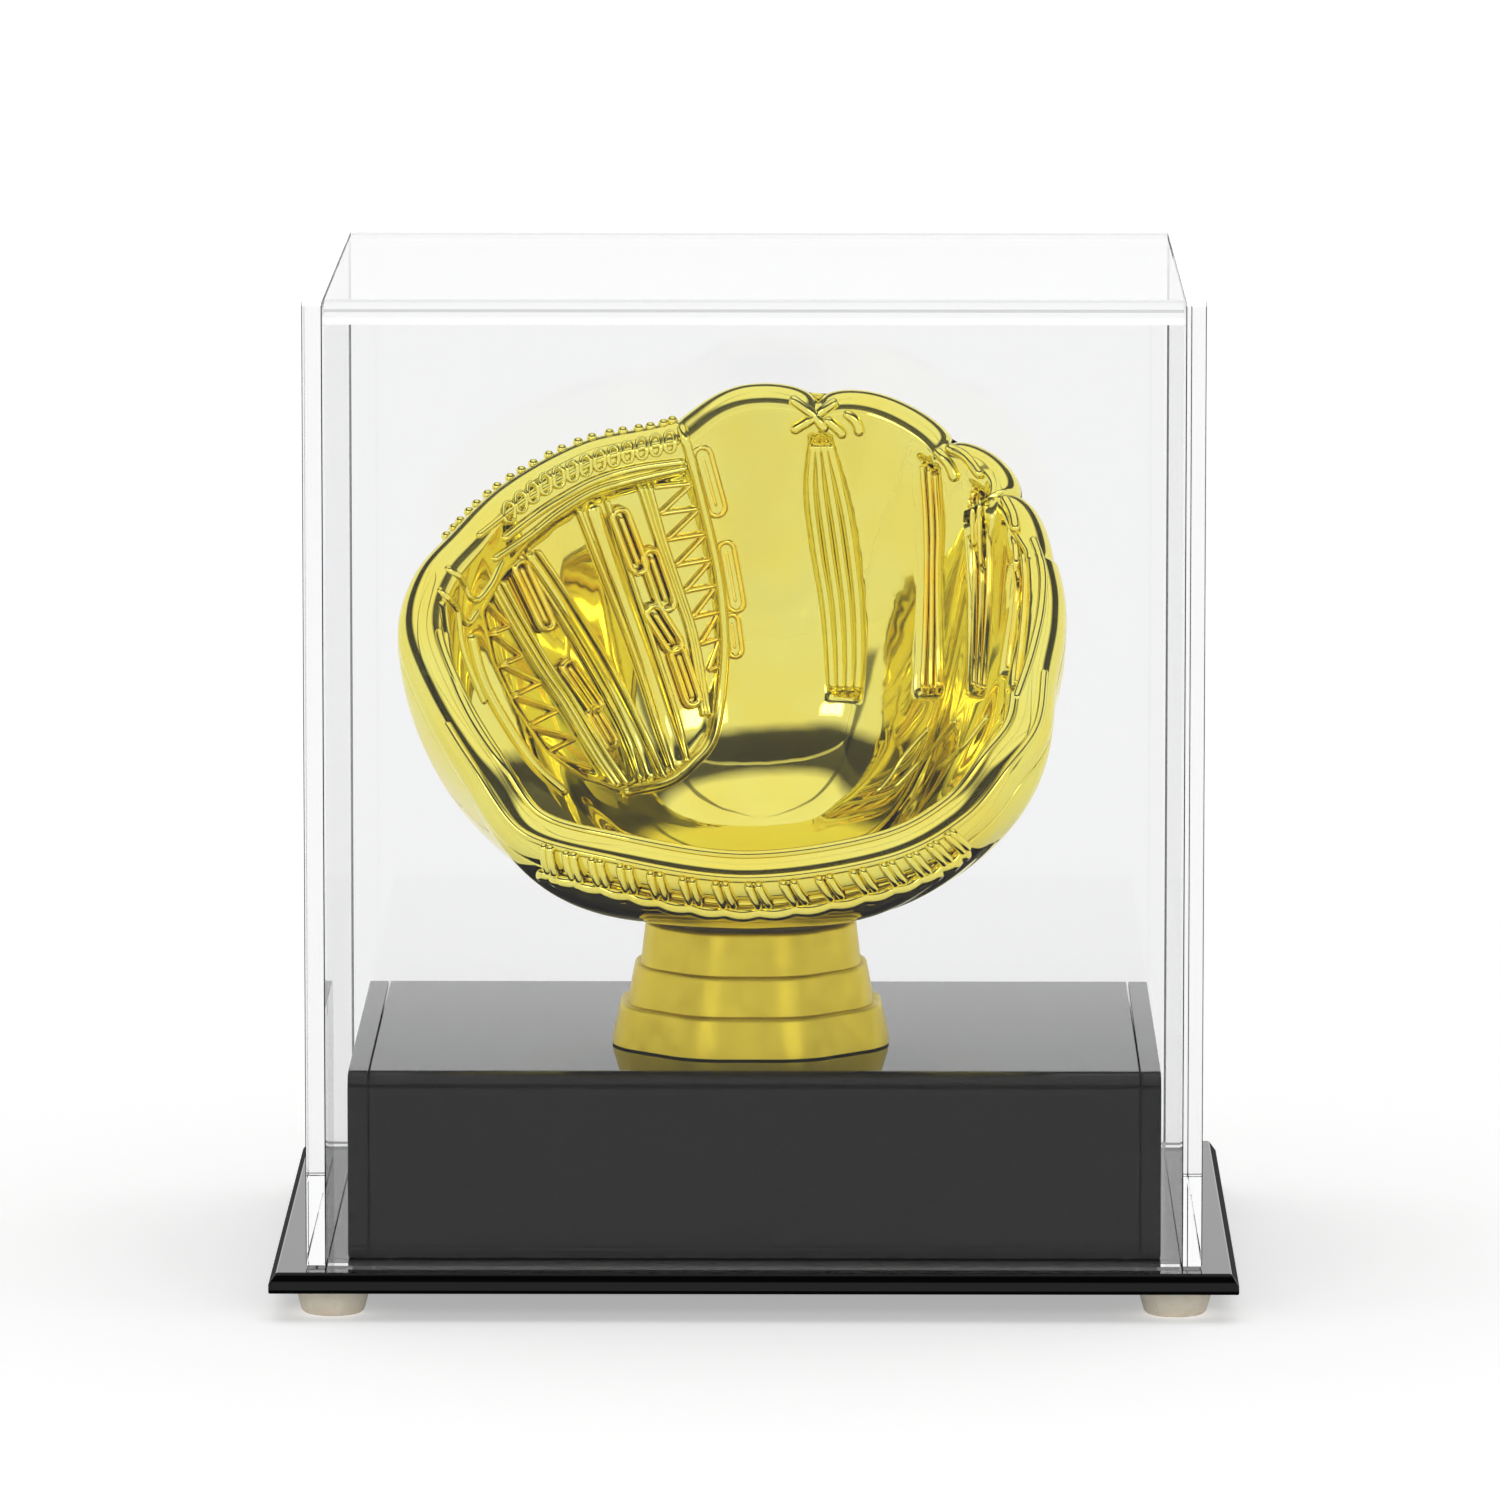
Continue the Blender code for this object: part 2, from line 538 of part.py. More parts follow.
def main():
    clear_scene()
    parts = new_collection("baseball_display_case")
    cutters = new_collection("cutters", hidden=True)
    black = new_material("black acrylic", (0.012, 0.012, 0.013), 0.08)
    clear = new_material("clear acrylic", (0.95, 0.95, 0.96), 0.02, transmission=1.0)
    gold = new_material("plated gold", (0.85, 0.66, 0.12), 0.08, metallic=1.0)
    satin = new_material("satin gold", (0.72, 0.58, 0.13), 0.30, metallic=1.0)
    bumper = new_material("bumper rubber", (0.62, 0.57, 0.45), 0.35)
    steel = new_material("zinc steel", (0.55, 0.56, 0.58), 0.35, metallic=1.0)
    add_base(black, parts)
    add_feet(bumper, parts)
    add_riser(black, parts, cutters)
    add_pedestal(satin, parts)
    add_glove(gold, parts, cutters)
    add_fasteners(steel, parts, cutters)
    add_cover(clear, parts)


main()
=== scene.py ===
"""The looks of the baseball display case: a mirror-gold glove on a satin-gold pedestal, a black acrylic riser and
base plate, and a clear cover that lifts off. Metres, +Z up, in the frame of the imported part."""

import math

import bmesh
import bpy
import numpy as np
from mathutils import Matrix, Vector
from mathutils.bvhtree import BVHTree


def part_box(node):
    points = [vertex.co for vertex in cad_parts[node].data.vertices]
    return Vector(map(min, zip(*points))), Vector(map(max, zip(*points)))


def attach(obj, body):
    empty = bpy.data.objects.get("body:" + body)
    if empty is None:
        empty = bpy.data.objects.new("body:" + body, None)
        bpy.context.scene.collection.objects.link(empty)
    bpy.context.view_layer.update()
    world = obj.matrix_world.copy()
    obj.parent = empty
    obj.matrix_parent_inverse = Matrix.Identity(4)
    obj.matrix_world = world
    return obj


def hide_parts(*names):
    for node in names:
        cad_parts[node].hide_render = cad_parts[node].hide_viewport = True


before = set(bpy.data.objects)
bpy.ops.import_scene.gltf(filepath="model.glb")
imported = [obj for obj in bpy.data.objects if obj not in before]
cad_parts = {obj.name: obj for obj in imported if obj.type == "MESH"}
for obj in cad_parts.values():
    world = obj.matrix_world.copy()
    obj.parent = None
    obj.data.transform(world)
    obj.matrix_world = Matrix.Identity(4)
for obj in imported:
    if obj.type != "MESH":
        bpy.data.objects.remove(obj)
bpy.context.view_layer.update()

# Camera: long lens, a little above the case and almost square to its front.
CAMERA_PLACE = (0.0142, -1.9817, 0.3558)
CAMERA_PITCH = 7.863
CAMERA_YAW = 0.441
CAMERA_LENS = 298.0
CAMERA_SENSOR = 36.0

# Studio, as (place, brightness) stops by height, from 0 straight down to 1 straight up, and by turn, from 0 at the
# back to 1 at the front.
TENT_HEIGHTS = (
    (0.0, 0.03), (0.47, 0.06), (0.49, 1.0), (0.72, 1.0), (0.76, 0.06), (0.88, 0.04), (0.92, 1.1), (1.0, 1.1),
)
TENT_TURNS = ((0.0, 1.0), (0.665, 1.0), (0.675, 0.25), (0.695, 0.25), (0.705, 1.0), (1.0, 1.0))
# Below this height the tent has no gaps.
UNBROKEN_HEIGHTS = ((0.0, 1.0), (0.53, 1.0), (0.56, 0.0), (1.0, 0.0))
LAMP_HEIGHTS = ((0.0, 0.0), (0.64, 0.0), (0.65, 1.0), (0.70, 1.0), (0.71, 0.0))
LAMP_TURNS = ((0.0, 0.0), (0.78, 0.0), (0.79, 1.0), (0.88, 1.0), (0.89, 0.0))
LAMP_BRIGHTNESS = 4.0
STUDIO_BRIGHTNESS = 1.05
FLOOR_SIZE = 9.0
FLOOR_GLOW = 0.40

# Acrylic work.
BASE_BEVEL_RUN = 0.0012
BASE_BEVEL_DROP = 0.0018
EDGE_ROUND = 0.00025
BEND_RADIUS = 0.0036
PANEL_CORNER_RADIUS = 0.0009
BEND_STEPS = 20

# Half-width and height of a bumper's side, as shares of its widest half-width and of its height.
FOOT_PROFILE = (
    (0.30, 0.0), (0.66, 0.0), (0.76, 0.03), (0.83, 0.12), (0.86, 0.25), (0.93, 0.60), (0.985, 0.90), (1.0, 0.97),
    (0.985, 1.0), (0.60, 1.0),
)
FOOT_SIDES = 96

# Pedestal, as half-widths across flats at the foot and head of each tier, and the share of its height where each
# tier ends.
PEDESTAL_TIERS = ((0.0221, 0.0209), (0.0196, 0.0186), (0.0176, 0.0169))
PEDESTAL_TIER_ENDS = (0.33, 0.65, 1.0)
PEDESTAL_CORNER_RADIUS = 0.0120
PEDESTAL_RIM_WIDTH = 0.0022
PEDESTAL_RECESS = 0.0008
PEDESTAL_WALL = 0.0022
PEDESTAL_BORE = 0.0068
LEDGE_ROUND = 0.0008

# Glove: the middle of its rolled rim, from the heel at the front, past the thumb, web, index, middle, ring and
# little finger and back to the heel, as places from the stand's axis and the pedestal's top.
RIM_POINTS = (
    (0.000, -0.0266, 0.0101), (-0.020, -0.0251, 0.0126), (-0.0345, -0.0196, 0.0161),
    (-0.0425, -0.0146, 0.0261), (-0.0488, -0.0077, 0.0358), (-0.0524, -0.0003, 0.0447),
    (-0.0507, 0.0068, 0.0521), (-0.0457, 0.0142, 0.0574), (-0.0382, 0.0232, 0.0638),
    (-0.0262, 0.0311, 0.0695), (-0.0127, 0.0355, 0.0721), (-0.0002, 0.037, 0.078),
    (0.0186, 0.0368, 0.0769), (0.0358, 0.0295, 0.069), (0.0424, 0.0204, 0.0615),
    (0.046, 0.0088, 0.0521), (0.0463, 0.0008, 0.0457), (0.0448, -0.0072, 0.0389),
    (0.0436, -0.0149, 0.0316), (0.0398, -0.0191, 0.0266), (0.0333, -0.0224, 0.0191),
    (0.0213, -0.0251, 0.0131),
)
# Where the finger tips meet, as a place along RIM_POINTS, and how deep the notch there is.
FINGER_NOTCHES = ((10.15, 0.001), (11.58, 0.0042), (12.72, 0.0035), (13.75, 0.003), (14.75, 0.0015))
TIP_BLUNTNESS = 0.7
NOTCH_FADE = 0.014
BACK_NOTCH_FADE = 0.042
# How far the rim opens into the wall below it, along RIM_POINTS: 0 is a full roll, 1 a rounded tip.
LIP_OPENNESS = ((0, 0.0), (5, 0.0), (8.5, 1.0), (13.5, 1.0), (16, 0.0), (22, 0.0))
RIM_WIDTH = 0.0080
GLOVE_WALL = 0.0018
SEAT_RADIUS = 0.0130
SEAT_HEIGHT = 0.0006
SEAM_GAP = 0.0003
POCKET_FLOOR = (0.0, 0.002, 0.005)
POCKET_FLATNESS = ((0, 0.6), (8, 0.66), (13, 0.66), (16, 0.52), (20, 0.52), (22, 0.6))
POCKET_SWELL = 0.08
POCKET_LOW_SWELL = 0.15
BACK_FLATNESS = ((0, 0.5), (5, 0.5), (8, 0.58), (13, 0.58), (16, 0.36), (20, 0.36), (22, 0.5))
BACK_SWELL = 0.15
BACK_LOW_SWELL = 0.30
# Over this stretch of height, the rim turns from facing up at the heel to facing forwards at the fingers.
FRONT_FACING_FROM = 0.020
FRONT_FACING_OVER = 0.050
# How much the outer wall tucks in under the rim, along RIM_POINTS.
BACK_TUCK = (
    (0, 0.1), (1.3, 0.35), (2.6, 0.35), (4.5, 0.1), (6, 0.0),
    (17, 0.0), (19, 0.1), (20.2, 0.35), (21, 0.25), (22, 0.1),
)
PALM_SEGMENTS = 600
PALM_RINGS = 130
BACK_SEGMENTS = 480
BACK_RINGS = 90
LIP_STEPS = 20
# The skins that face the hollow take every tenth ring, and the palm's lies deep enough for its sunk panels.
HIDDEN_STEP = 10
PALM_THICKNESS = 1.6 * GLOVE_WALL

# Relief steps over this much of a gap between the skin's folds at most.
MOST_JUMP = 0.006
# Rays that look for the skin start this far in front of the stand, and paths have a place about this often.
RAY_START = -0.1
PATH_STEP = 0.001
# Relief on the pocket, as (x, z) places from the stand's axis and the pedestal's top, seen from the front.
WEB_EDGE = (
    (-0.012, 0.0772), (-0.010, 0.0702), (-0.0082, 0.063), (-0.006, 0.0534), (-0.0049, 0.0457), (-0.0046, 0.0365),
    (-0.0062, 0.0252), (-0.0096, 0.0207), (-0.014, 0.0179), (-0.0209, 0.0172),
)
WEB_PANEL = (
    (-0.0106, 0.0684), (-0.0206, 0.066), (-0.0259, 0.0645), (-0.0313, 0.0615), (-0.0359, 0.058), (-0.040, 0.053),
    (-0.043, 0.048), (-0.0412, 0.040), (-0.038, 0.033), (-0.033, 0.0255), (-0.027, 0.0205), (-0.0209, 0.0178),
    (-0.014, 0.0185), (-0.0098, 0.0213), (-0.0066, 0.0255), (-0.005, 0.0365), (-0.0053, 0.0457), (-0.0065, 0.0534),
    (-0.0087, 0.063),
)
# The sides of each gap between two fingers, and how many cords fill it.
FINGER_GAPS = (
    (((0.0095, 0.0735), (0.0087, 0.0643), (0.0097, 0.0544), (0.0113, 0.0445), (0.0123, 0.031)),
     ((0.0125, 0.0735), (0.0158, 0.0612), (0.0175, 0.0482), (0.0178, 0.0382), (0.0172, 0.031)), 4),
    (((0.0266, 0.071), (0.0274, 0.0593), (0.0274, 0.0471), (0.0266, 0.0325)),
     ((0.030, 0.069), (0.0304, 0.059), (0.0302, 0.0507), (0.0306, 0.033)), 3),
    (((0.0348, 0.0675), (0.0351, 0.0511), (0.035, 0.0345)),
     ((0.0383, 0.065), (0.0384, 0.0513), (0.0372, 0.0345)), 3),
    (((0.0413, 0.061), (0.0415, 0.0515), (0.040, 0.0385)),
     ((0.044, 0.058), (0.0441, 0.0515), (0.0425, 0.0385)), 2),
)
GAP_DEPTH = 0.0014
WEB_DEPTH = 0.0012
# Each strap of the web: its left and right side from the web's top to where the straps meet.
WEB_STRAPS = (
    (((-0.0416, 0.0525), (-0.0384, 0.0461), (-0.0339, 0.0379), (-0.0303, 0.0323),
      (-0.0251, 0.0236), (-0.0216, 0.0185)),
     ((-0.0396, 0.0525), (-0.0364, 0.0461), (-0.0319, 0.0379), (-0.0283, 0.0323),
      (-0.0231, 0.0236), (-0.0196, 0.0185))),
    (((-0.037, 0.0563), (-0.0312, 0.047), (-0.025, 0.0359), (-0.0201, 0.0262), (-0.0175, 0.019)),
     ((-0.0341, 0.0567), (-0.0285, 0.0477), (-0.0223, 0.0368), (-0.017, 0.0259), (-0.0136, 0.0188))),
    (((-0.0277, 0.0628), (-0.0232, 0.0507), (-0.0183, 0.0371), (-0.0152, 0.0275), (-0.0123, 0.0196)),
     ((-0.0232, 0.0639), (-0.0192, 0.0507), (-0.0152, 0.0383), (-0.0121, 0.0287), (-0.010, 0.0208))),
    (((-0.018, 0.0658), (-0.0152, 0.0568), (-0.012, 0.0474), (-0.0098, 0.0403), (-0.0078, 0.028)),
     ((-0.0164, 0.0658), (-0.014, 0.0568), (-0.011, 0.0474), (-0.0089, 0.0403), (-0.0068, 0.028))),
)
# The two sides of each column of stitches, and how many stitches cross it.
STITCH_COLUMNS = (
    (((-0.0158, 0.0655), (-0.0136, 0.0567), (-0.0109, 0.0483), (-0.0089, 0.0412), (-0.0064, 0.033)),
     ((-0.0102, 0.068), (-0.0079, 0.0602), (-0.0061, 0.0519), (-0.0052, 0.0458), (-0.0052, 0.036)), 15),
    (((-0.0423, 0.0498), (-0.0405, 0.0428), (-0.0382, 0.036), (-0.036, 0.0305), (-0.0311, 0.0228)),
     ((-0.0392, 0.0478), (-0.037, 0.0417), (-0.0343, 0.0371), (-0.0315, 0.0325), (-0.0252, 0.0218)), 11),
)
# Loops of lace: the two ends of each loop's middle line, and its half-width.
LACE_LOOPS = (
    ((-0.0081, 0.0707), (-0.0058, 0.062), 0.0014),
    ((-0.0043, 0.055), (-0.0027, 0.0461), 0.0013),
    ((-0.0034, 0.0432), (-0.0028, 0.0385), 0.0011),
    ((-0.0212, 0.061), (-0.0183, 0.0529), 0.0013),
    ((-0.0163, 0.0541), (-0.0138, 0.0466), 0.0013),
    ((-0.0158, 0.0449), (-0.0127, 0.0398), 0.0013),
    ((-0.012, 0.0381), (-0.0096, 0.0309), 0.0011),
    ((-0.037, 0.0542), (-0.0329, 0.0449), 0.001),
    ((-0.0294, 0.0376), (-0.0252, 0.0311), 0.001),
    ((-0.0254, 0.0299), (-0.0226, 0.025), 0.0009),
)
# The web's top band: two ridges under its edge, and the row of small loops between.
BAND_RIDGES = (
    ((-0.044, 0.060), (-0.0367, 0.0648), (-0.0313, 0.0676), (-0.0251, 0.0705),
      (-0.0183, 0.0722), (-0.0117, 0.0731)),
    ((-0.040, 0.059), (-0.036, 0.0617), (-0.0313, 0.0645), (-0.0251, 0.0674),
      (-0.0183, 0.069), (-0.0108, 0.0698)),
    ((-0.0415, 0.056), (-0.0359, 0.0592), (-0.0313, 0.0625), (-0.0259, 0.0654),
      (-0.0206, 0.0668), (-0.0105, 0.0688)),
)
BAND_LOOPS = ((-0.0392, 0.0632), (-0.0341, 0.0668), (-0.0271, 0.0697), (-0.0205, 0.0715), (-0.0134, 0.073))
BAND_LOOP_COUNT = 13
# The beads on the web's edge: from where to where along RIM_POINTS, and how many.
EDGE_BEADS = (7.0, 10.1, 20)
BEAD_RADIUS = 0.0009
# Ridges that follow the thumb, from its tip down, and those on the little finger's side.
THUMB_RIDGES = (
    (((-0.0451, 0.045), (-0.043, 0.0372), (-0.039, 0.0296), (-0.0346, 0.0233), (-0.0296, 0.0185)), 0.0011),
    (((-0.047, 0.050), (-0.0462, 0.043), (-0.0437, 0.036), (-0.040, 0.0285), (-0.0352, 0.0222)), 0.0007),
    (((-0.0493, 0.051), (-0.0478, 0.042), (-0.0445, 0.0345), (-0.0385, 0.0262), (-0.0335, 0.021)), 0.0009),
    (((-0.049, 0.056), (-0.0465, 0.054), (-0.0445, 0.050), (-0.042, 0.052), (-0.040, 0.056)), 0.0007),
    (((-0.050, 0.053), (-0.0475, 0.050), (-0.0455, 0.0465), (-0.0437, 0.0485)), 0.0007),
    (((0.0451, 0.060), (0.0466, 0.0555), (0.0463, 0.050), (0.0447, 0.044), (0.042, 0.037)), 0.0008),
    (((0.0287, 0.0276), (0.0247, 0.0229), (0.0207, 0.0176), (0.0159, 0.0142), (0.011, 0.0125)), 0.0006),
    (((0.033, 0.030), (0.029, 0.0245), (0.025, 0.020), (0.0215, 0.0165)), 0.0006),
    (((0.038, 0.032), (0.034, 0.0265), (0.030, 0.0222)), 0.0007),
)
# The laces that tie the finger tips together.
TIP_LACES = (
    ((0.006, 0.080), (0.010, 0.077), (0.012, 0.0745)),
    ((0.0062, 0.0745), (0.010, 0.0768), (0.0138, 0.0795)),
    ((0.0116, 0.0768), (0.0138, 0.075), (0.015, 0.0735)),
    ((0.0148, 0.0778), (0.0168, 0.0762), (0.0175, 0.0738)),
    ((0.0295, 0.0722), (0.0318, 0.070), (0.033, 0.0672)),
    ((0.0315, 0.0725), (0.0345, 0.0712), (0.0372, 0.0682)),
    ((0.0405, 0.0655), (0.042, 0.063), (0.0425, 0.0605)),
)
# Along the heel: where along RIM_POINTS the lacing runs, how many stitches it has, and how far round the rim they
# and the lip under them sit, in degrees from the rim's inner edge, in the middle and towards the ends.
HEEL_LACING = (-1.75, 1.62)
HEEL_STITCH_COUNT = 15
HEEL_STITCH_TURN = (158.0, 150.0)
HEEL_LIP_TURN = (206.0, 196.0)
# Each stitch is two cords: how far each lies to its side and leans, along RIM_POINTS, and half its span in degrees.
HEEL_CORD_SHIFT = 0.036
HEEL_CORD_LEAN = 0.05
HEEL_CORD_SPAN = 33.0
# The lip under the stitches: how many places it has, and how far its waves stand out.
HEEL_LIP_MARKS = 160
HEEL_LIP_WAVE = 0.0005
# Ridges beside the lacing: from where to where along RIM_POINTS, how far round the rim, and half-width.
HEEL_RIDGES = ((-5.0, 3.6, 118.0, 0.0007), (-4.6, 5.0, 48.0, 0.0008))

# Where the stand is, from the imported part.
pedestal_low, pedestal_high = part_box("pedestal")
STAND = Vector(((pedestal_low.x + pedestal_high.x) / 2, (pedestal_low.y + pedestal_high.y) / 2, pedestal_high.z))


# Materials -------


WHITE = (1.0, 1.0, 1.0, 1.0)


def set_inputs(node, values):
    for name, value in values.items():
        node.inputs[name].default_value = value


def new_material(name, colour, roughness, metallic=0.0, ior=1.45, **others):
    """A material of one shader. The others are more of its inputs, with underscores for spaces."""
    material = bpy.data.materials.new(name)
    material.use_nodes = True
    values = {"Base Color": (*colour, 1.0), "Roughness": roughness, "Metallic": metallic, "IOR": ior}
    values.update((key.replace("_", " "), value) for key, value in others.items())
    set_inputs(material.node_tree.nodes["Principled BSDF"], values)
    return material


def noise(tree, scale, detail=3.0, stretch=(1.0, 1.0, 1.0)):
    """A noise in the object's own coordinates. Its output runs from 0 to 1."""
    place = tree.nodes.new("ShaderNodeTexCoord")
    mapping = tree.nodes.new("ShaderNodeMapping")
    set_inputs(mapping, {"Scale": stretch})
    texture = tree.nodes.new("ShaderNodeTexNoise")
    set_inputs(texture, {"Scale": scale, "Detail": detail})
    tree.links.new(place.outputs["Object"], mapping.inputs["Vector"])
    tree.links.new(mapping.outputs["Vector"], texture.inputs["Vector"])
    return texture.outputs["Fac"]


def spread(tree, value, low, high):
    """Maps a noise, most of which lies between 0.3 and 0.7, to the range from low to high."""
    stretch = tree.nodes.new("ShaderNodeMapRange")
    set_inputs(stretch, {"From Min": 0.3, "From Max": 0.7, "To Min": low, "To Max": high})
    tree.links.new(value, stretch.inputs["Value"])
    return stretch.outputs["Result"]


def vary_roughness(material, scale, low, high, stretch=(1.0, 1.0, 1.0)):
    tree = material.node_tree
    value = spread(tree, noise(tree, scale, 4.0, stretch), low, high)
    tree.links.new(value, tree.nodes["Principled BSDF"].inputs["Roughness"])


def vary_colour(material, scale, first, second):
    tree = material.node_tree
    mix = tree.nodes.new("ShaderNodeMix")
    mix.data_type = "RGBA"
    mix.inputs["A"].default_value = (*first, 1.0)
    mix.inputs["B"].default_value = (*second, 1.0)
    tree.links.new(spread(tree, noise(tree, scale), 0.0, 1.0), mix.inputs["Factor"])
    tree.links.new(mix.outputs["Result"], tree.nodes["Principled BSDF"].inputs["Base Color"])


def add_bumps(material, layers):
    """Stacks bump layers, each of them (scale, depth in metres, stretch if any), on the shader's normal."""
    tree = material.node_tree
    normal = None
    for scale, depth, *stretch in layers:
        bump = tree.nodes.new("ShaderNodeBump")
        set_inputs(bump, {"Strength": 1.0, "Distance": depth})
        tree.links.new(noise(tree, scale, 2.0, *stretch), bump.inputs["Height"])
        if normal is not None:
            tree.links.new(normal, bump.inputs["Normal"])
        normal = bump.outputs["Normal"]
    tree.links.new(normal, tree.nodes["Principled BSDF"].inputs["Normal"])


def mirror_gold():
    """Vacuum-plated plastic: a lemon-gold mirror over a moulding that isn't quite even."""
    material = new_material("mirror_gold", (0.86, 0.79, 0.17), 0.03, metallic=1.0)
    vary_colour(material, 60.0, (0.86, 0.80, 0.19), (0.88, 0.75, 0.12))
    vary_roughness(material, 160.0, 0.015, 0.06)
    add_bumps(material, ((110.0, 0.00005),))
    return material


def painted_crevice_gold():
    """The same plating, warmer, for the pieces in the hollows: painted reflection, standing in for the deeper gold
    of light bounced between the folds.
    """
    material = new_material("mirror_gold_painted_crevice", (0.94, 0.78, 0.10), 0.04, metallic=1.0)
    vary_colour(material, 120.0, (0.90, 0.82, 0.20), (0.97, 0.72, 0.05))
    vary_roughness(material, 200.0, 0.02, 0.08)
    add_bumps(material, ((180.0, 0.00005),))
    return material


def satin_gold():
    """Gold paint on a moulding, softly mottled."""
    material = new_material("satin_gold", (0.76, 0.60, 0.055), 0.40, metallic=1.0)
    vary_colour(material, 260.0, (0.79, 0.63, 0.06), (0.73, 0.57, 0.05))
    vary_roughness(material, 320.0, 0.36, 0.46)
    add_bumps(material, ((220.0, 0.00003), (1400.0, 0.000006)))
    return material


def black_acrylic():
    """Cast black sheet: a deep gloss with hairline rubs."""
    material = new_material("black_acrylic", (0.001, 0.001, 0.0012), 0.04, ior=1.30)
    vary_roughness(material, 120.0, 0.02, 0.06, (1.0, 6.0, 1.0))
    add_bumps(material, ((22.0, 0.000006),))
    return material


def clear_acrylic():
    """Clear sheet with a faint grey painted into its colour: painted shade for the light lost at four polished
    faces.
    """
    material = new_material("clear_acrylic", (0.944, 0.945, 0.949), 0.0, ior=1.38, Transmission_Weight=1.0)
    vary_roughness(material, 60.0, 0.0, 0.012)
    return material


def painted_glow_acrylic(name, glow):
    """The same sheet where it was sawn or bent, with painted light: an emission glow stands in for the light that
    runs along inside it and scatters out.
    """
    sheet = {"Transmission_Weight": 0.35, "Emission_Color": WHITE, "Emission_Strength": glow}
    material = new_material(name, (0.95, 0.955, 0.96), 0.12, ior=1.49, **sheet)
    vary_roughness(material, 400.0, 0.08, 0.25, (1.0, 0.2, 1.0))
    return material


def bumper_rubber():
    """Clear soft bumper, yellowed a little."""
    soft = {"Subsurface_Weight": 0.3, "Subsurface_Scale": 0.003}
    material = new_material("bumper", (0.66, 0.61, 0.50), 0.3, ior=1.5, **soft)
    vary_roughness(material, 500.0, 0.22, 0.42)
    vary_colour(material, 300.0, (0.68, 0.63, 0.52), (0.60, 0.55, 0.44))
    add_bumps(material, ((700.0, 0.00004),))
    return material


def zinc_steel():
    """Bright zinc plating over turned steel."""
    material = new_material("zinc_steel", (0.60, 0.61, 0.63), 0.3, metallic=1.0)
    vary_roughness(material, 900.0, 0.2, 0.45, (1.0, 1.0, 8.0))
    add_bumps(material, ((1500.0, 0.00002, (1, 1, 6)),))
    return material


def floor_paper():
    """A lit white sweep."""
    lit = {"Specular_IOR_Level": 0.0, "Emission_Color": WHITE, "Emission_Strength": FLOOR_GLOW}
    material = new_material("white_sweep", (0.90, 0.90, 0.90), 0.9, **lit)
    vary_roughness(material, 30.0, 0.8, 1.0)
    return material


# Studio -------


def add_camera():
    camera = bpy.data.cameras.new("camera")
    camera.lens = CAMERA_LENS
    camera.sensor_width = CAMERA_SENSOR
    camera.clip_end = 50.0
    holder = bpy.data.objects.new("camera", camera)
    holder.location = CAMERA_PLACE
    holder.rotation_euler = (math.radians(90 - CAMERA_PITCH), 0.0, math.radians(CAMERA_YAW))
    bpy.context.scene.collection.objects.link(holder)
    bpy.context.scene.camera = holder


def ramp_node(tree, value, stops):
    """A colour ramp with (place, brightness) stops."""
    ramp = tree.nodes.new("ShaderNodeValToRGB")
    elements = ramp.color_ramp.elements
    while len(elements) < len(stops):
        elements.new(0.5)
    for element, (place, bright) in zip(elements, stops):
        element.position = place
        element.color = (bright, bright, bright, 1.0)
    tree.links.new(value, ramp.inputs["Fac"])
    return ramp.outputs["Color"]


def math_node(tree, operation, first, second):
    node = tree.nodes.new("ShaderNodeMath")
    node.operation = operation
    for socket, value in zip(node.inputs, (first, second)):
        if isinstance(value, (int, float)):
            socket.default_value = value
        else:
            tree.links.new(value, socket)
    return node.outputs["Value"]


def add_world():
    """A white tent: a bright wall with a narrow gap on each side of its front, a dark band above it, a softbox
    overhead and a small lamp to each side of the camera. What is under the horizon is dark, and the floor hides
    it."""
    world = bpy.data.worlds.new("studio")
    bpy.context.scene.world = world
    world.use_nodes = True
    tree = world.node_tree
    direction = tree.nodes.new("ShaderNodeTexCoord").outputs["Generated"]
    split = tree.nodes.new("ShaderNodeSeparateXYZ")
    tree.links.new(direction, split.inputs["Vector"])
    height = math_node(tree, "MULTIPLY_ADD", split.outputs["Z"], 0.5)
    height.node.inputs[2].default_value = 0.5
    bright = ramp_node(tree, height, TENT_HEIGHTS)
    turn = math_node(tree, "ARCTAN2", split.outputs["X"], split.outputs["Y"])
    share = math_node(tree, "DIVIDE", math_node(tree, "ABSOLUTE", turn, 0.0), math.pi)
    unbroken = ramp_node(tree, height, UNBROKEN_HEIGHTS)
    round_about = math_node(tree, "MAXIMUM", ramp_node(tree, share, TENT_TURNS), unbroken)
    tent = math_node(tree, "MULTIPLY", bright, round_about)
    lamps = math_node(tree, "MULTIPLY", ramp_node(tree, height, LAMP_HEIGHTS), ramp_node(tree, share, LAMP_TURNS))
    lamps = math_node(tree, "MULTIPLY", lamps, LAMP_BRIGHTNESS)
    background = tree.nodes["Background"]
    tree.links.new(math_node(tree, "ADD", tent, lamps), background.inputs["Color"])
    background.inputs["Strength"].default_value = STUDIO_BRIGHTNESS


def add_floor(material):
    bm = bmesh.new()
    bmesh.ops.create_grid(bm, x_segments=8, y_segments=8, size=FLOOR_SIZE)
    mesh = bpy.data.meshes.new("floor")
    bm.to_mesh(mesh)
    bm.free()
    mesh.materials.append(material)
    floor = bpy.data.objects.new("floor", mesh)
    floor.visible_glossy = False
    bpy.context.scene.collection.objects.link(floor)


# Mesh tools -------


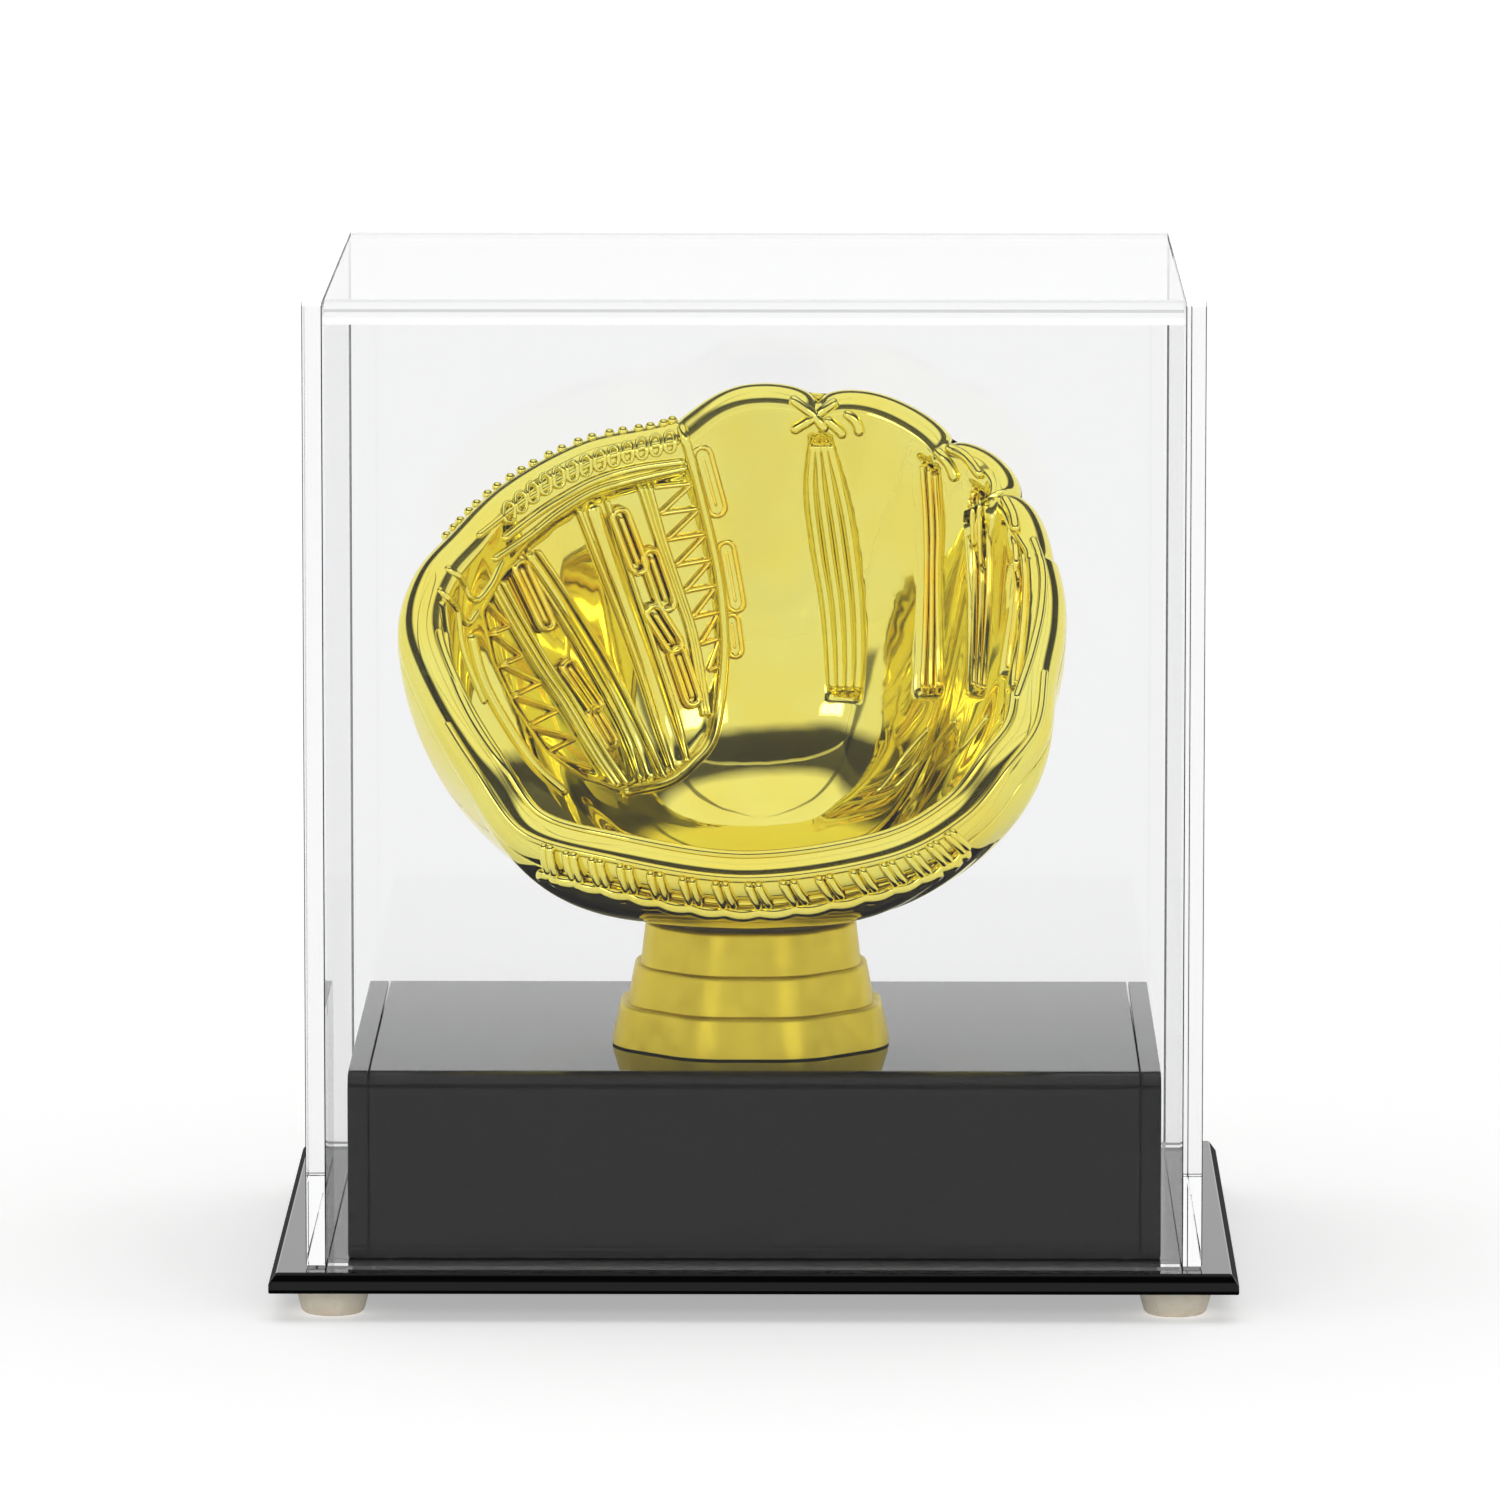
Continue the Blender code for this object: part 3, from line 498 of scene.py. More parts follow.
def finish_piece(name, bm_or_mesh, material, body, replaced=(), sharp=None):
    """Makes a mesh a piece of the model: it rides on the body and stands for the replaced nodes."""
    mesh = bm_or_mesh
    if isinstance(bm_or_mesh, bmesh.types.BMesh):
        mesh = bpy.data.meshes.new(name)
        bm_or_mesh.to_mesh(mesh)
        bm_or_mesh.free()
    mesh.shade_smooth()
    if sharp is not None:
        mesh.set_sharp_from_angle(angle=math.radians(sharp))
    mesh.materials.append(material)
    piece = bpy.data.objects.new(name, mesh)
    bpy.context.scene.collection.objects.link(piece)
    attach(piece, body)
    if replaced:
        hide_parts(*replaced)
    return piece


def round_edges(piece, width, segments=3):
    bevel = piece.modifiers.new("rounded edges", "BEVEL")
    bevel.width = width
    bevel.segments = segments
    bevel.limit_method = "ANGLE"
    bevel.angle_limit = math.radians(35)
    bevel.harden_normals = True


def strip_faces(rows, count):
    """Faces that join closed rings of count points, one ring after another."""
    ring = np.arange(count)
    strip = np.stack((ring, np.roll(ring, -1), count + np.roll(ring, -1), count + ring), 1)
    return np.concatenate([strip + row * count for row in range(rows - 1)])


def closed_faces(rows, count, ends_in_poles):
    """Faces of a closed skin over rings of count points. It ends in two poles, numbered after the rings, or joins
    back to its first ring."""
    last = (rows - 1) * count
    ring = np.arange(count)
    after = np.roll(ring, -1)
    faces = strip_faces(rows, count).tolist()
    if not ends_in_poles:
        return faces + np.stack((last + ring, last + after, after, ring), 1).tolist()
    pole = rows * count
    faces += np.stack((np.full(count, pole), after, ring), 1).tolist()
    return faces + np.stack((np.full(count, pole + 1), last + ring, last + after), 1).tolist()


def mesh_of(name, points, faces):
    mesh = bpy.data.meshes.new(name)
    mesh.from_pydata(points.tolist(), [], faces)
    mesh.update()
    return mesh


def loft_mesh(name, rings, poles=None):
    """Joins closed rings of equal length into one skin, which ends in two poles or joins back to the first ring."""
    points = np.concatenate(rings if poles is None else (*rings, np.array(poles)))
    return mesh_of(name, points, closed_faces(len(rings), len(rings[0]), poles is not None))


# Acrylic and feet -------


def add_base(material):
    low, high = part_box("base_plate")
    bm = bmesh.new()
    middle = (low + high) / 2
    rows = []
    for z, inset in ((low.z, 0.0), (high.z - BASE_BEVEL_DROP, 0.0), (high.z, BASE_BEVEL_RUN)):
        row = []
        for x, y in ((-1, -1), (1, -1), (1, 1), (-1, 1)):
            place = (middle.x + x * (high.x - middle.x - inset), middle.y + y * (high.y - middle.y - inset), z)
            row.append(bm.verts.new(place))
        rows.append(row)
    for lower, upper in zip(rows, rows[1:]):
        for corner in range(4):
            after = (corner + 1) % 4
            bm.faces.new((lower[corner], lower[after], upper[after], upper[corner]))
    bm.faces.new(rows[0][::-1])
    bm.faces.new(rows[-1])
    plate = finish_piece("base_plate_finished", bm, material, "stand", ("base_plate",), 35)
    round_edges(plate, EDGE_ROUND)


def add_feet(material):
    for node in ("foot_front_left", "foot_front_right", "foot_back_left", "foot_back_right"):
        low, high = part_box(node)
        middle = (low + high) / 2
        widest = high.x - middle.x
        tall = high.z - low.z
        angles = np.linspace(0.0, 2 * math.pi, FOOT_SIDES, endpoint=False)
        circle = np.stack((np.cos(angles), np.sin(angles), np.zeros(FOOT_SIDES)), 1)
        rings = [circle * widest * wide + (middle.x, middle.y, low.z + tall * up) for wide, up in FOOT_PROFILE]
        poles = ((middle.x, middle.y, low.z), (middle.x, middle.y, high.z))
        mesh = loft_mesh(node, rings, poles)
        finish_piece(node + "_bumper", mesh, material, "stand", (node,), 50)


def bent_outline(depth, height, radius):
    """An upside-down U in (y, z), from the front foot up, over and down to the back foot."""
    points = [(-depth / 2, 0.0)]
    for side in (-1, 1):
        for step in range(BEND_STEPS + 1):
            share = step / BEND_STEPS
            angle = math.pi / 2 * (share if side < 0 else 1 - share)
            along = depth / 2 - radius + radius * math.cos(angle)
            points.append((side * along, height - radius + radius * math.sin(angle)))
    points.append((depth / 2, 0.0))
    return points


def add_wrap(node, radius, material, body, sheet):
    """The bent sheet of a box: its outer and inner faces, its two sawn ends and its two feet."""
    low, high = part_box(node)
    middle_y = (low.y + high.y) / 2
    outer = bent_outline(high.y - low.y, high.z - low.z, radius)
    inner = bent_outline(high.y - low.y - 2 * sheet, high.z - low.z - sheet, radius - sheet)
    bm = bmesh.new()
    loops = []
    for x in (low.x, high.x):
        loops.append([[bm.verts.new((x, middle_y + y, low.z + z)) for y, z in line] for line in (outer, inner)])
    (left_outer, left_inner), (right_outer, right_inner) = loops
    for lines in ((left_outer, right_outer), (right_inner, left_inner), (left_inner, left_outer)):
        first, second = lines
        for step in range(len(first) - 1):
            bm.faces.new((first[step], second[step], second[step + 1], first[step + 1]))
    for step in range(len(right_inner) - 1):
        bm.faces.new((right_outer[step], right_inner[step], right_inner[step + 1], right_outer[step + 1]))
    for end in (0, -1):
        bm.faces.new((left_outer[end], left_inner[end], right_inner[end], right_outer[end]))
    bmesh.ops.recalc_face_normals(bm, faces=bm.faces)
    return finish_piece(node + "_finished", bm, material, body, (node,), 30)


def add_panel(node, radius, material, body):
    """A flat end panel with rounded top corners and broken edges."""
    low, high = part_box(node)
    middle_y = (low.y + high.y) / 2
    bm = bmesh.new()
    outline = bent_outline(high.y - low.y, high.z - low.z, radius)
    loops = [[bm.verts.new((x, middle_y + y, low.z + z)) for y, z in outline] for x in (low.x, high.x)]
    bm.faces.new(loops[0])
    bm.faces.new(loops[1][::-1])
    count = len(outline)
    for step in range(count):
        after = (step + 1) % count
        bm.faces.new((loops[0][step], loops[1][step], loops[1][after], loops[0][after]))
    bmesh.ops.recalc_face_normals(bm, faces=bm.faces)
    panel = finish_piece(node + "_finished", bm, material, body, (node,), 30)
    round_edges(panel, EDGE_ROUND, 2)
    return panel


def assign_edges(piece, material, wanted):
    """Gives the faces that wanted picks, by their normal, another material."""
    piece.data.materials.append(material)
    for face in piece.data.polygons:
        if wanted(face.normal):
            face.material_index = len(piece.data.materials) - 1


def add_boxes(black, clear, painted_glow, line):
    low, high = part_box("riser_left_end")
    sheet = high.x - low.x
    add_wrap("riser_wrap", BEND_RADIUS, black, "stand", sheet)
    cover = add_wrap("cover_wrap", BEND_RADIUS, clear, "cover", sheet)
    # Painted light: the bends glow by emission, apart from a duller painted line where each begins and another
    # about half-way round it.
    assign_edges(cover, painted_glow, lambda normal: 0.03 < normal.z < 0.999 and abs(normal.y) > 0.03)
    assign_edges(cover, line, lambda normal: 0.03 < normal.z < 0.06 or 0.53 < normal.z < 0.64)
    for node in ("riser_left_end", "riser_right_end"):
        add_panel(node, BEND_RADIUS, black, "stand")
    for node in ("cover_left_side", "cover_right_side"):
        panel = add_panel(node, PANEL_CORNER_RADIUS, clear, "cover")
        # Painted light: the side panels' top edges glow by emission as well.
        assign_edges(panel, painted_glow, lambda normal: normal.z > 0.3)


# Pedestal -------


def octagon(half_width, corner_radius, z):
    """A regular octagon with rounded corners, flat towards the front, with points along its flats too."""
    points = []
    reach = (half_width - corner_radius) / math.cos(math.pi / 8)
    steps = 10
    for corner in range(8):
        middle = math.pi / 8 + corner * math.pi / 4
        for step in range(steps):
            angle = middle + math.pi / 4 * ((step + 0.5) / steps - 0.5)
            x = reach * math.cos(middle) + corner_radius * math.cos(angle)
            y = reach * math.sin(middle) + corner_radius * math.sin(angle)
            points.append((x, y, z))
    return np.array(points)


def add_pedestal(material):
    """Three tapered tiers with softened ledges, a recess under the glove and a hollow beneath."""
    height = pedestal_high.z - pedestal_low.z
    profile = []
    foot = 0.0
    for (low, high), end in zip(PEDESTAL_TIERS, PEDESTAL_TIER_ENDS):
        head = end * height
        profile += [(low, foot), (low - 0.0001, foot + LEDGE_ROUND)]
        for step in range(5):
            angle = math.pi / 2 * step / 4
            profile.append((high - LEDGE_ROUND * (1 - math.cos(angle)), head - LEDGE_ROUND * (1 - math.sin(angle))))
        foot = head
    rim = PEDESTAL_TIERS[-1][1] - PEDESTAL_RIM_WIDTH
    floor = height - PEDESTAL_RECESS
    rings = [octagon(wide, PEDESTAL_CORNER_RADIUS, z) for wide, z in profile]
    rings += [octagon(rim, PEDESTAL_CORNER_RADIUS, height), octagon(rim, PEDESTAL_CORNER_RADIUS, floor)]
    rings += [octagon(PEDESTAL_BORE, PEDESTAL_BORE, floor), octagon(PEDESTAL_BORE, PEDESTAL_BORE, 0.0)]
    tube = PEDESTAL_BORE + PEDESTAL_WALL
    rings += [octagon(tube, tube, 0.0), octagon(tube, tube, floor - PEDESTAL_WALL)]
    hollow = PEDESTAL_TIERS[-1][1] - PEDESTAL_WALL
    rings += [octagon(hollow, PEDESTAL_CORNER_RADIUS, floor - PEDESTAL_WALL)]
    rings += [octagon(PEDESTAL_TIERS[0][0] - 0.0035, PEDESTAL_CORNER_RADIUS, 0.0)]
    mesh = loft_mesh("pedestal", [ring + (STAND.x, STAND.y, pedestal_low.z) for ring in rings])
    finish_piece("pedestal_finished", mesh, material, "stand", ("pedestal",), 38)


# Glove -------


def unit(vectors):
    return vectors / np.maximum(np.linalg.norm(vectors, axis=-1, keepdims=True), 1e-12)


def between(before, start, end, after, share):
    """The place at that share of the way from start to end, on a smooth curve that passes before and after too."""
    leave = (end - before) / 2
    arrive = (after - start) / 2
    square = share**2
    cube = share**3
    place = (2 * cube - 3 * square + 1) * start + (cube - 2 * square + share) * leave
    return place + (3 * square - 2 * cube) * end + (cube - square) * arrive


def rim_curve(segments):
    """The rim's middle as a smooth closed curve through RIM_POINTS, and where along them each place lies."""
    knots = np.array(RIM_POINTS)
    count = len(knots)
    at = np.arange(segments) * count / segments
    index = at.astype(int)
    before, start, end, after = (knots[(index + shift) % count] for shift in (-1, 0, 1, 2))
    return between(before, start, end, after, (at - index)[:, None]), at


def smooth_path(points, spacing):
    """Places about that spacing apart on a smooth open curve through the points."""
    knots = np.array(points, float)
    knots = np.concatenate((2 * knots[:1] - knots[1:2], knots, 2 * knots[-1:] - knots[-2:-1]))
    places = []
    for index in range(1, len(knots) - 2):
        before, start, end, after = knots[index - 1:index + 3]
        steps = max(2, math.ceil(np.linalg.norm(end - start) / spacing))
        places.append(between(before, start, end, after, (np.arange(steps) / steps)[:, None]))
    places.append(knots[-2:-1])
    return np.concatenate(places)


def travelled_along(places):
    return np.concatenate(([0.0], np.cumsum(np.linalg.norm(np.diff(places, axis=0), axis=1))))


def read_at(marks, travelled, values):
    """The rows of values, known at the travelled distances, at the marks."""
    return np.stack([np.interp(marks, travelled, column) for column in values.T], 1)


def spaced(places, count):
    """That many places, evenly spaced along a path."""
    travelled = travelled_along(places)
    return read_at(np.linspace(0.0, travelled[-1], count), travelled, places)


def finger_scallops(at):
    """How far the rim dips at each place between the finger tips."""
    dip = np.zeros(len(at))
    for (start, start_dip), (end, end_dip) in zip(FINGER_NOTCHES, FINGER_NOTCHES[1:]):
        share = (at - start) / (end - start)
        inside = (share >= 0) & (share <= 1)
        dome = np.sqrt(np.clip(1 - (2 * share - 1) ** 2, 0.0, 1.0)) ** TIP_BLUNTNESS
        dip += np.where(inside, (start_dip + (end_dip - start_dip) * share) * (1 - dome), 0.0)
    return dip


def rim_frame(rim):
    """At each place on the rim, the way out from the pocket and the way that the rim faces."""
    along = unit(np.roll(rim, -1, axis=0) - np.roll(rim, 1, axis=0))
    lean = np.clip((rim[:, 2] - FRONT_FACING_FROM) / FRONT_FACING_OVER, 0.0, 1.0)
    middle = np.stack((0 * lean, rim[:, 1] * lean, 0 * lean + rim[:, 2].mean()), 1)
    spoke = rim - middle
    outward = unit(spoke - (spoke * along).sum(axis=1, keepdims=True) * along)
    return outward, unit(np.cross(along, outward))


def swept_rows(start, leave, end, rings, flatness, swell, low_swell):
    """Curves from each rim place down to the matching end place. They set off along leave, and swell outwards at
    the back of the hand."""
    level = (start - end) * (1, 1, 0)
    reach = np.linalg.norm(level, axis=1, keepdims=True)
    outward = level / np.maximum(reach, 1e-9)
    drop = (start - end)[:, 2:3]
    behind = (outward[:, 1:2] + np.sqrt(outward[:, 1:2] ** 2 + 0.03)) / 2
    first = start + leave * (0.12 * reach + 0.36 * drop) + outward * swell * drop * behind
    second = end + outward * (reach * (flatness + (1 - flatness) * behind) + low_swell * drop * behind)
    rows = []
    for step in range(1, rings):
        share = step / rings
        rest = 1 - share
        rows.append(rest**3 * start + 3 * rest**2 * share * first + 3 * rest * share**2 * second + share**3 * end)
    return rows


def grid_normals(grid):
    """Normals of rows of closed rings, to the left of the way down."""
    around = np.roll(grid, -1, axis=1) - np.roll(grid, 1, axis=1)
    return unit(np.cross(np.gradient(grid, axis=0), around))


def smooth_step(value, low, high):
    share = np.clip((value - low) / (high - low), 0.0, 1.0)
    return share * share * (3 - 2 * share)


def glove_rim(segments):
    """The rim, the way out from the pocket, the way it faces, and where along RIM_POINTS each place is."""
    rim, at = rim_curve(segments)
    outward, facing = rim_frame(rim)
    return rim, outward, facing, at


def scallop(rows, outward, at, depth):
    """Draws the finger notches into rows that start at the rim. They fade out over that depth below it."""
    dips = finger_scallops(at)[:, None]
    steps = np.linalg.norm(np.diff(rows, axis=0), axis=2)
    travelled = np.concatenate((np.zeros((1, len(at))), np.cumsum(steps, axis=0)))[..., None]
    return rows - outward * dips * (1 - smooth_step(travelled, 0.0, depth))


def palm_skin(segments, rings, lip_steps):
    """The palm half's skin as rows of rings, from the rim's outer edge over the lip to the pocket's floor, and the
    way out from the pocket at each place on the rim."""
    rim, outward, facing, at = glove_rim(segments)
    half = RIM_WIDTH / 2
    last = (math.pi / 2 * np.interp(at, *zip(*LIP_OPENNESS)))[:, None]
    lip = []
    for step in range(lip_steps + 1):
        angle = math.pi + (last - math.pi) * step / lip_steps
        lip.append(rim + half * (facing * np.sin(angle) - outward * np.cos(angle)))
    leave = unit(np.array((0.0, 0.0, -1.0)) - 0.5 * (facing * np.cos(last) + outward * np.sin(last)))
    floor = np.broadcast_to(POCKET_FLOOR, rim.shape)
    flatness = np.interp(at, *zip(*POCKET_FLATNESS))[:, None]
    pocket = swept_rows(lip[-1], leave, floor, rings, flatness, POCKET_SWELL, POCKET_LOW_SWELL)
    skin = np.array(lip + pocket)
    skin[lip_steps:] = scallop(skin[lip_steps:], outward, at, NOTCH_FADE)
    skin[:lip_steps] -= outward * finger_scallops(at)[:, None]
    return skin, outward


def depth_inside(places, outline):
    """How far inside a closed outline each (x, z) place lies. It is negative outside."""
    corners = np.array(outline)
    nearest = np.full(len(places), 1.0)
    inside = np.zeros(len(places), bool)
    for start, end in zip(corners, np.roll(corners, -1, axis=0)):
        edge = end - start
        share = np.clip((places - start) @ edge / (edge @ edge), 0.0, 1.0)
        nearest = np.minimum(nearest, np.linalg.norm(places - start - share[:, None] * edge, axis=1))
        crossed = (start[1] > places[:, 1]) != (end[1] > places[:, 1])
        side = (places[:, 0] - start[0]) * edge[1] < (places[:, 1] - start[1]) * edge[0]
        inside ^= crossed & (side == (edge[1] > 0))
    return np.where(inside, nearest, -nearest)


def gap_outline(gap):
    left, right, cords = gap
    return [*smooth_path(left, 0.004), *smooth_path(right, 0.004)[::-1]]


def sink_panels(skin, normals):
    """Sinks the gaps between the fingers and the web's panel into the pocket."""
    places = skin[..., (0, 2)].reshape(-1, 2)
    seen = smooth_step(-normals[..., 1], 0.0, 0.25)
    depth = np.zeros(len(places))
    for gap in FINGER_GAPS:
        depth += GAP_DEPTH * smooth_step(depth_inside(places, gap_outline(gap)), -0.0004, 0.0009)
    depth += WEB_DEPTH * smooth_step(depth_inside(places, WEB_PANEL), -0.0002, 0.0012)
    return skin - normals * (depth.reshape(seen.shape) * seen)[..., None]


def on_rim(marks, turns, lift):
    """Places round the rim at each mark along RIM_POINTS and turn in degrees from its inner edge, and the way out.
    Past half a turn they run on down the outer wall."""
    rim, outward, facing, at = glove_rim(PALM_SEGMENTS)
    column = np.asarray(marks) * PALM_SEGMENTS / len(RIM_POINTS)
    index = np.floor(column).astype(int)
    share = (column - index)[:, None]
    near, across, ahead = (values[index % PALM_SEGMENTS] * (1 - share) + values[(index + 1) % PALM_SEGMENTS] * share
                           for values in (rim, outward, facing))
    angles = np.radians(np.broadcast_to(turns, len(column)))[:, None]
    past = np.maximum(angles - math.pi, 0.0) * RIM_WIDTH / 2
    angles = np.minimum(angles, math.pi)
    out = unit(ahead * np.sin(angles) - across * np.cos(angles))
    down = unit(np.array((0.0, 0.0, -1.0)) - 0.3 * across)
    return near + (RIM_WIDTH / 2 + np.broadcast_to(lift, len(column))[:, None]) * out + past * down, out


class Relief:
    """Cords, beads and loops that lie on the glove's skin, gathered into one mesh."""

    def __init__(self, tree):
        self.tree = tree
        self.points = []
        self.faces = []
        self.count = 0

    def lay(self, places, lift=0.0):
        """Where the (x, z) places meet the skin seen from the front, raised by lift, and the skin's normals."""
        found = []
        normals = []
        for x, z in places:
            place, normal, face, distance = self.tree.ray_cast(Vector((x, RAY_START, z)), Vector((0.0, 1.0, 0.0)))
            if place is None or (found and (place - found[-1]).length > MOST_JUMP):
                continue
            normal = normal if normal.y < 0 else -normal
            found.append(place)
            normals.append(normal)
        normals = np.array(normals)
        for turn in range(3):
            padded = np.concatenate((normals[:1], normals, normals[-1:]))
            normals = unit(padded[:-2] + padded[1:-1] + padded[2:])
        return np.array(found) + lift * normals, normals

    def add(self, rings, closed):
        """Joins rings of equal length. An open run ends in two poles, at the middles of its end rings."""
        faces = closed_faces(len(rings), len(rings[0]), not closed)
        self.faces += [[corner + self.count for corner in face] for face in faces]
        ends = [] if closed else [ring.mean(axis=0)[None] for ring in (rings[0], rings[-1])]
        self.points.append(np.concatenate((*rings, *ends)))
        self.count += len(self.points[-1])

    def cord(self, places, normals, wide, high, sides=10, spacing=0.0005):
        """An open cord of elliptical section along the places, with rounded ends."""
        travelled = travelled_along(places)
        length = travelled[-1]
        turns = np.linspace(0.25, math.pi / 2, 4)
        cap = min(wide, length / 2.2)
        middle = np.linspace(cap, length - cap, max(2, int(length / spacing)))[1:-1]
        marks = np.concatenate((cap * (1 - np.cos(turns)), middle, length - cap * (1 - np.cos(turns[::-1]))))
        swell = np.concatenate((np.sin(turns), np.ones(len(middle)), np.sin(turns[::-1])))
        centres = read_at(marks, travelled, places)
        self.sweep(centres, unit(read_at(marks, travelled, normals)), wide, high, swell, sides, False)

    def sweep(self, centres, ups, wide, high, swell, sides, closed):
        if closed:
            along = unit(np.roll(centres, -1, axis=0) - np.roll(centres, 1, axis=0))
        else:
            along = unit(np.gradient(centres, axis=0))
        across = unit(np.cross(along, ups))
        ups = np.cross(across, along)
        angles = np.linspace(0.0, 2 * math.pi, sides, endpoint=False)
        rings = [centre + size * (np.cos(angles)[:, None] * side * wide + np.sin(angles)[:, None] * up * high)
                 for centre, side, up, size in zip(centres, across, ups, swell)]
        self.add(rings, closed)

    def path(self, points, wide, high, lift=0.0):
        """A cord along the (x, z) points."""
        places, normals = self.lay(smooth_path(points, PATH_STEP), lift)
        if len(places) > 2:
            self.cord(places, normals, wide, high)

    def loop(self, start, end, half, wide, lift=0.0):
        """A closed racetrack of cord around the line from start to end."""
        start, end = np.array(start), np.array(end)
        along = unit(end - start)
        across = np.array((along[1], -along[0]))
        turns = np.linspace(0.0, math.pi, 7)
        first = [start + half * (np.cos(turn) * across - np.sin(turn) * along) for turn in turns]
        second = [end + half * (-np.cos(turn) * across + np.sin(turn) * along) for turn in turns]
        sides = [first[-1] + (second[0] - first[-1]) * share for share in np.linspace(0.1, 0.9, 8)]
        back = [second[-1] + (first[0] - second[-1]) * share for share in np.linspace(0.1, 0.9, 8)]
        places, normals = self.lay([*first, *sides, *second, *back], lift)
        self.sweep(places, normals, wide, wide, np.ones(len(places)), 8, True)

    def bead(self, centre, radius):
        turns = np.linspace(0.0, math.pi, 8)[1:-1]
        angles = np.linspace(0.0, 2 * math.pi, 12, endpoint=False)
        rings = [centre + radius * np.stack((np.sin(turn) * np.cos(angles), np.sin(turn) * np.sin(angles),
                                             np.full(12, np.cos(turn))), 1) for turn in turns]
        self.add(rings, False)

    def finish(self, name, material):
        mesh = mesh_of(name, np.concatenate(self.points) + np.array(STAND), self.faces)
        finish_piece(name, mesh, material, "stand")


def shares_between(left, right, share, spacing=PATH_STEP):
    """The path at that share of the way from one side to the other."""
    length = max(np.linalg.norm(np.diff(np.array(left), axis=0), axis=1).sum(), 0.002)
    count = math.ceil(length / spacing)
    first = spaced(smooth_path(left, spacing), count)
    second = spaced(smooth_path(right, spacing), count)
    return first + (second - first) * share


def add_finger_cords(tree, gold, painted_crevice):
    """The cords that fill the gaps between the fingers, rolled under where the palm begins."""
    for index, (left, right, cords) in enumerate(FINGER_GAPS):
        relief = Relief(tree)
        width = np.linalg.norm(np.array(left[1]) - np.array(right[1]))
        for cord in range(cords):
            path = shares_between(left, right, (cord + 0.5) / cords)
            relief.path(path[1:-1], 0.5 * width / cords, 0.0010, -0.0009)
        # Painted reflection: the cords in all but the first gap take the warmer hollow gold.
        relief.finish(f"glove_finger_cords_{index + 1}", gold if index == 0 else painted_crevice)
    relief = Relief(tree)
    for lace in TIP_LACES:
        relief.path(lace, 0.0009, 0.0008, 0.0003)
    relief.finish("glove_tip_laces", gold)


def add_web(tree, gold, painted_crevice):
    relief = Relief(tree)
    relief.path(WEB_EDGE, 0.0009, 0.0009, 0.0001)
    for left, right in WEB_STRAPS:
        wide = np.linalg.norm(np.array(left[1]) - np.array(right[1]))
        relief.path(shares_between(left, right, 0.5), 0.36 * wide, 0.0007, -0.0010)
        for share in (0.0, 1.0):
            relief.path(shares_between(left, right, share), 0.0005, 0.0006, -0.0008)
    relief.finish("glove_web_straps", gold)

    relief = Relief(tree)
    for left, right, count in STITCH_COLUMNS:
        first = spaced(smooth_path(left, PATH_STEP), 2 * count + 1)
        second = spaced(smooth_path(right, PATH_STEP), 2 * count + 1)
        for stitch in range(count):
            here = (first, second)[stitch % 2][2 * stitch]
            there = (second, first)[stitch % 2][2 * stitch + 2]
            relief.path((here, (here + there) / 2, there), 0.0005, 0.0006, -0.0009)
    for start, end, half in LACE_LOOPS:
        relief.loop(start, end, half, 0.0006, -0.0003)
        relief.path(np.linspace(start, end, 3), 0.0005, 0.0005, -0.0004)
    # Painted reflection: the stitching and lace loops take the warmer hollow gold.
    relief.finish("glove_web_stitching", painted_crevice)

    relief = Relief(tree)
    for ridge, wide in zip(BAND_RIDGES, (0.0006, 0.0008, 0.0007)):
        relief.path(ridge, wide, wide, 0.0)
    for place in spaced(smooth_path(BAND_LOOPS, PATH_STEP), BAND_LOOP_COUNT):
        relief.loop(place + (0.0, 0.0007), place - (0.0, 0.0007), 0.0008, 0.0004, 0.0003)
    relief.finish("glove_web_band", gold)


def add_edge_beads(tree, gold):
    relief = Relief(tree)
    rim, outward, facing, at = glove_rim(PALM_SEGMENTS)
    low, high, count = EDGE_BEADS
    for mark in np.linspace(low, high, count):
        column = int(mark * PALM_SEGMENTS / len(RIM_POINTS))
        crest = rim[column] + RIM_WIDTH / 2 * unit(outward[column] + 0.25 * facing[column])
        relief.bead(crest, BEAD_RADIUS)
    relief.finish("glove_edge_beads", gold)


def add_thumb_and_heel(tree, gold):
    relief = Relief(tree)
    for ridge, wide in THUMB_RIDGES:
        relief.path(ridge, wide, wide, -0.0002)
    relief.finish("glove_ridges", gold)

    relief = Relief(tree)
    start, end = HEEL_LACING
    middle, ends = HEEL_STITCH_TURN
    marks = np.linspace(start, end, HEEL_STITCH_COUNT)
    shares = np.linspace(-1.0, 1.0, HEEL_STITCH_COUNT) ** 2
    for mark, share in zip(marks, shares):
        turn = middle + (ends - middle) * share
        for shift in (-HEEL_CORD_SHIFT, HEEL_CORD_SHIFT):
            steps = np.linspace(-1.0, 1.0, 9)
            places, normals = on_rim(mark + shift - HEEL_CORD_LEAN * steps, turn + HEEL_CORD_SPAN * steps, 0.0004)
            relief.cord(places, normals, 0.0008, 0.0013)
    fine = np.linspace(start - 0.15, end + 0.15, HEEL_LIP_MARKS)
    middle, ends = HEEL_LIP_TURN
    turns = middle + (ends - middle) * np.linspace(-1.0, 1.0, HEEL_LIP_MARKS) ** 2
    waves = HEEL_LIP_WAVE * np.abs(np.sin((fine - start) / (end - start) * math.pi * (HEEL_STITCH_COUNT - 1)))
    places, normals = on_rim(fine, turns, 0.0001 + waves)
    relief.cord(places, normals, 0.0015, 0.0011, 12)
    for low, high, turn, wide in HEEL_RIDGES:
        places, normals = on_rim(np.linspace(low, high, 200), np.full(200, turn), 0.0)
        relief.cord(places, normals, wide, wide)
    relief.finish("glove_heel_lacing", gold)


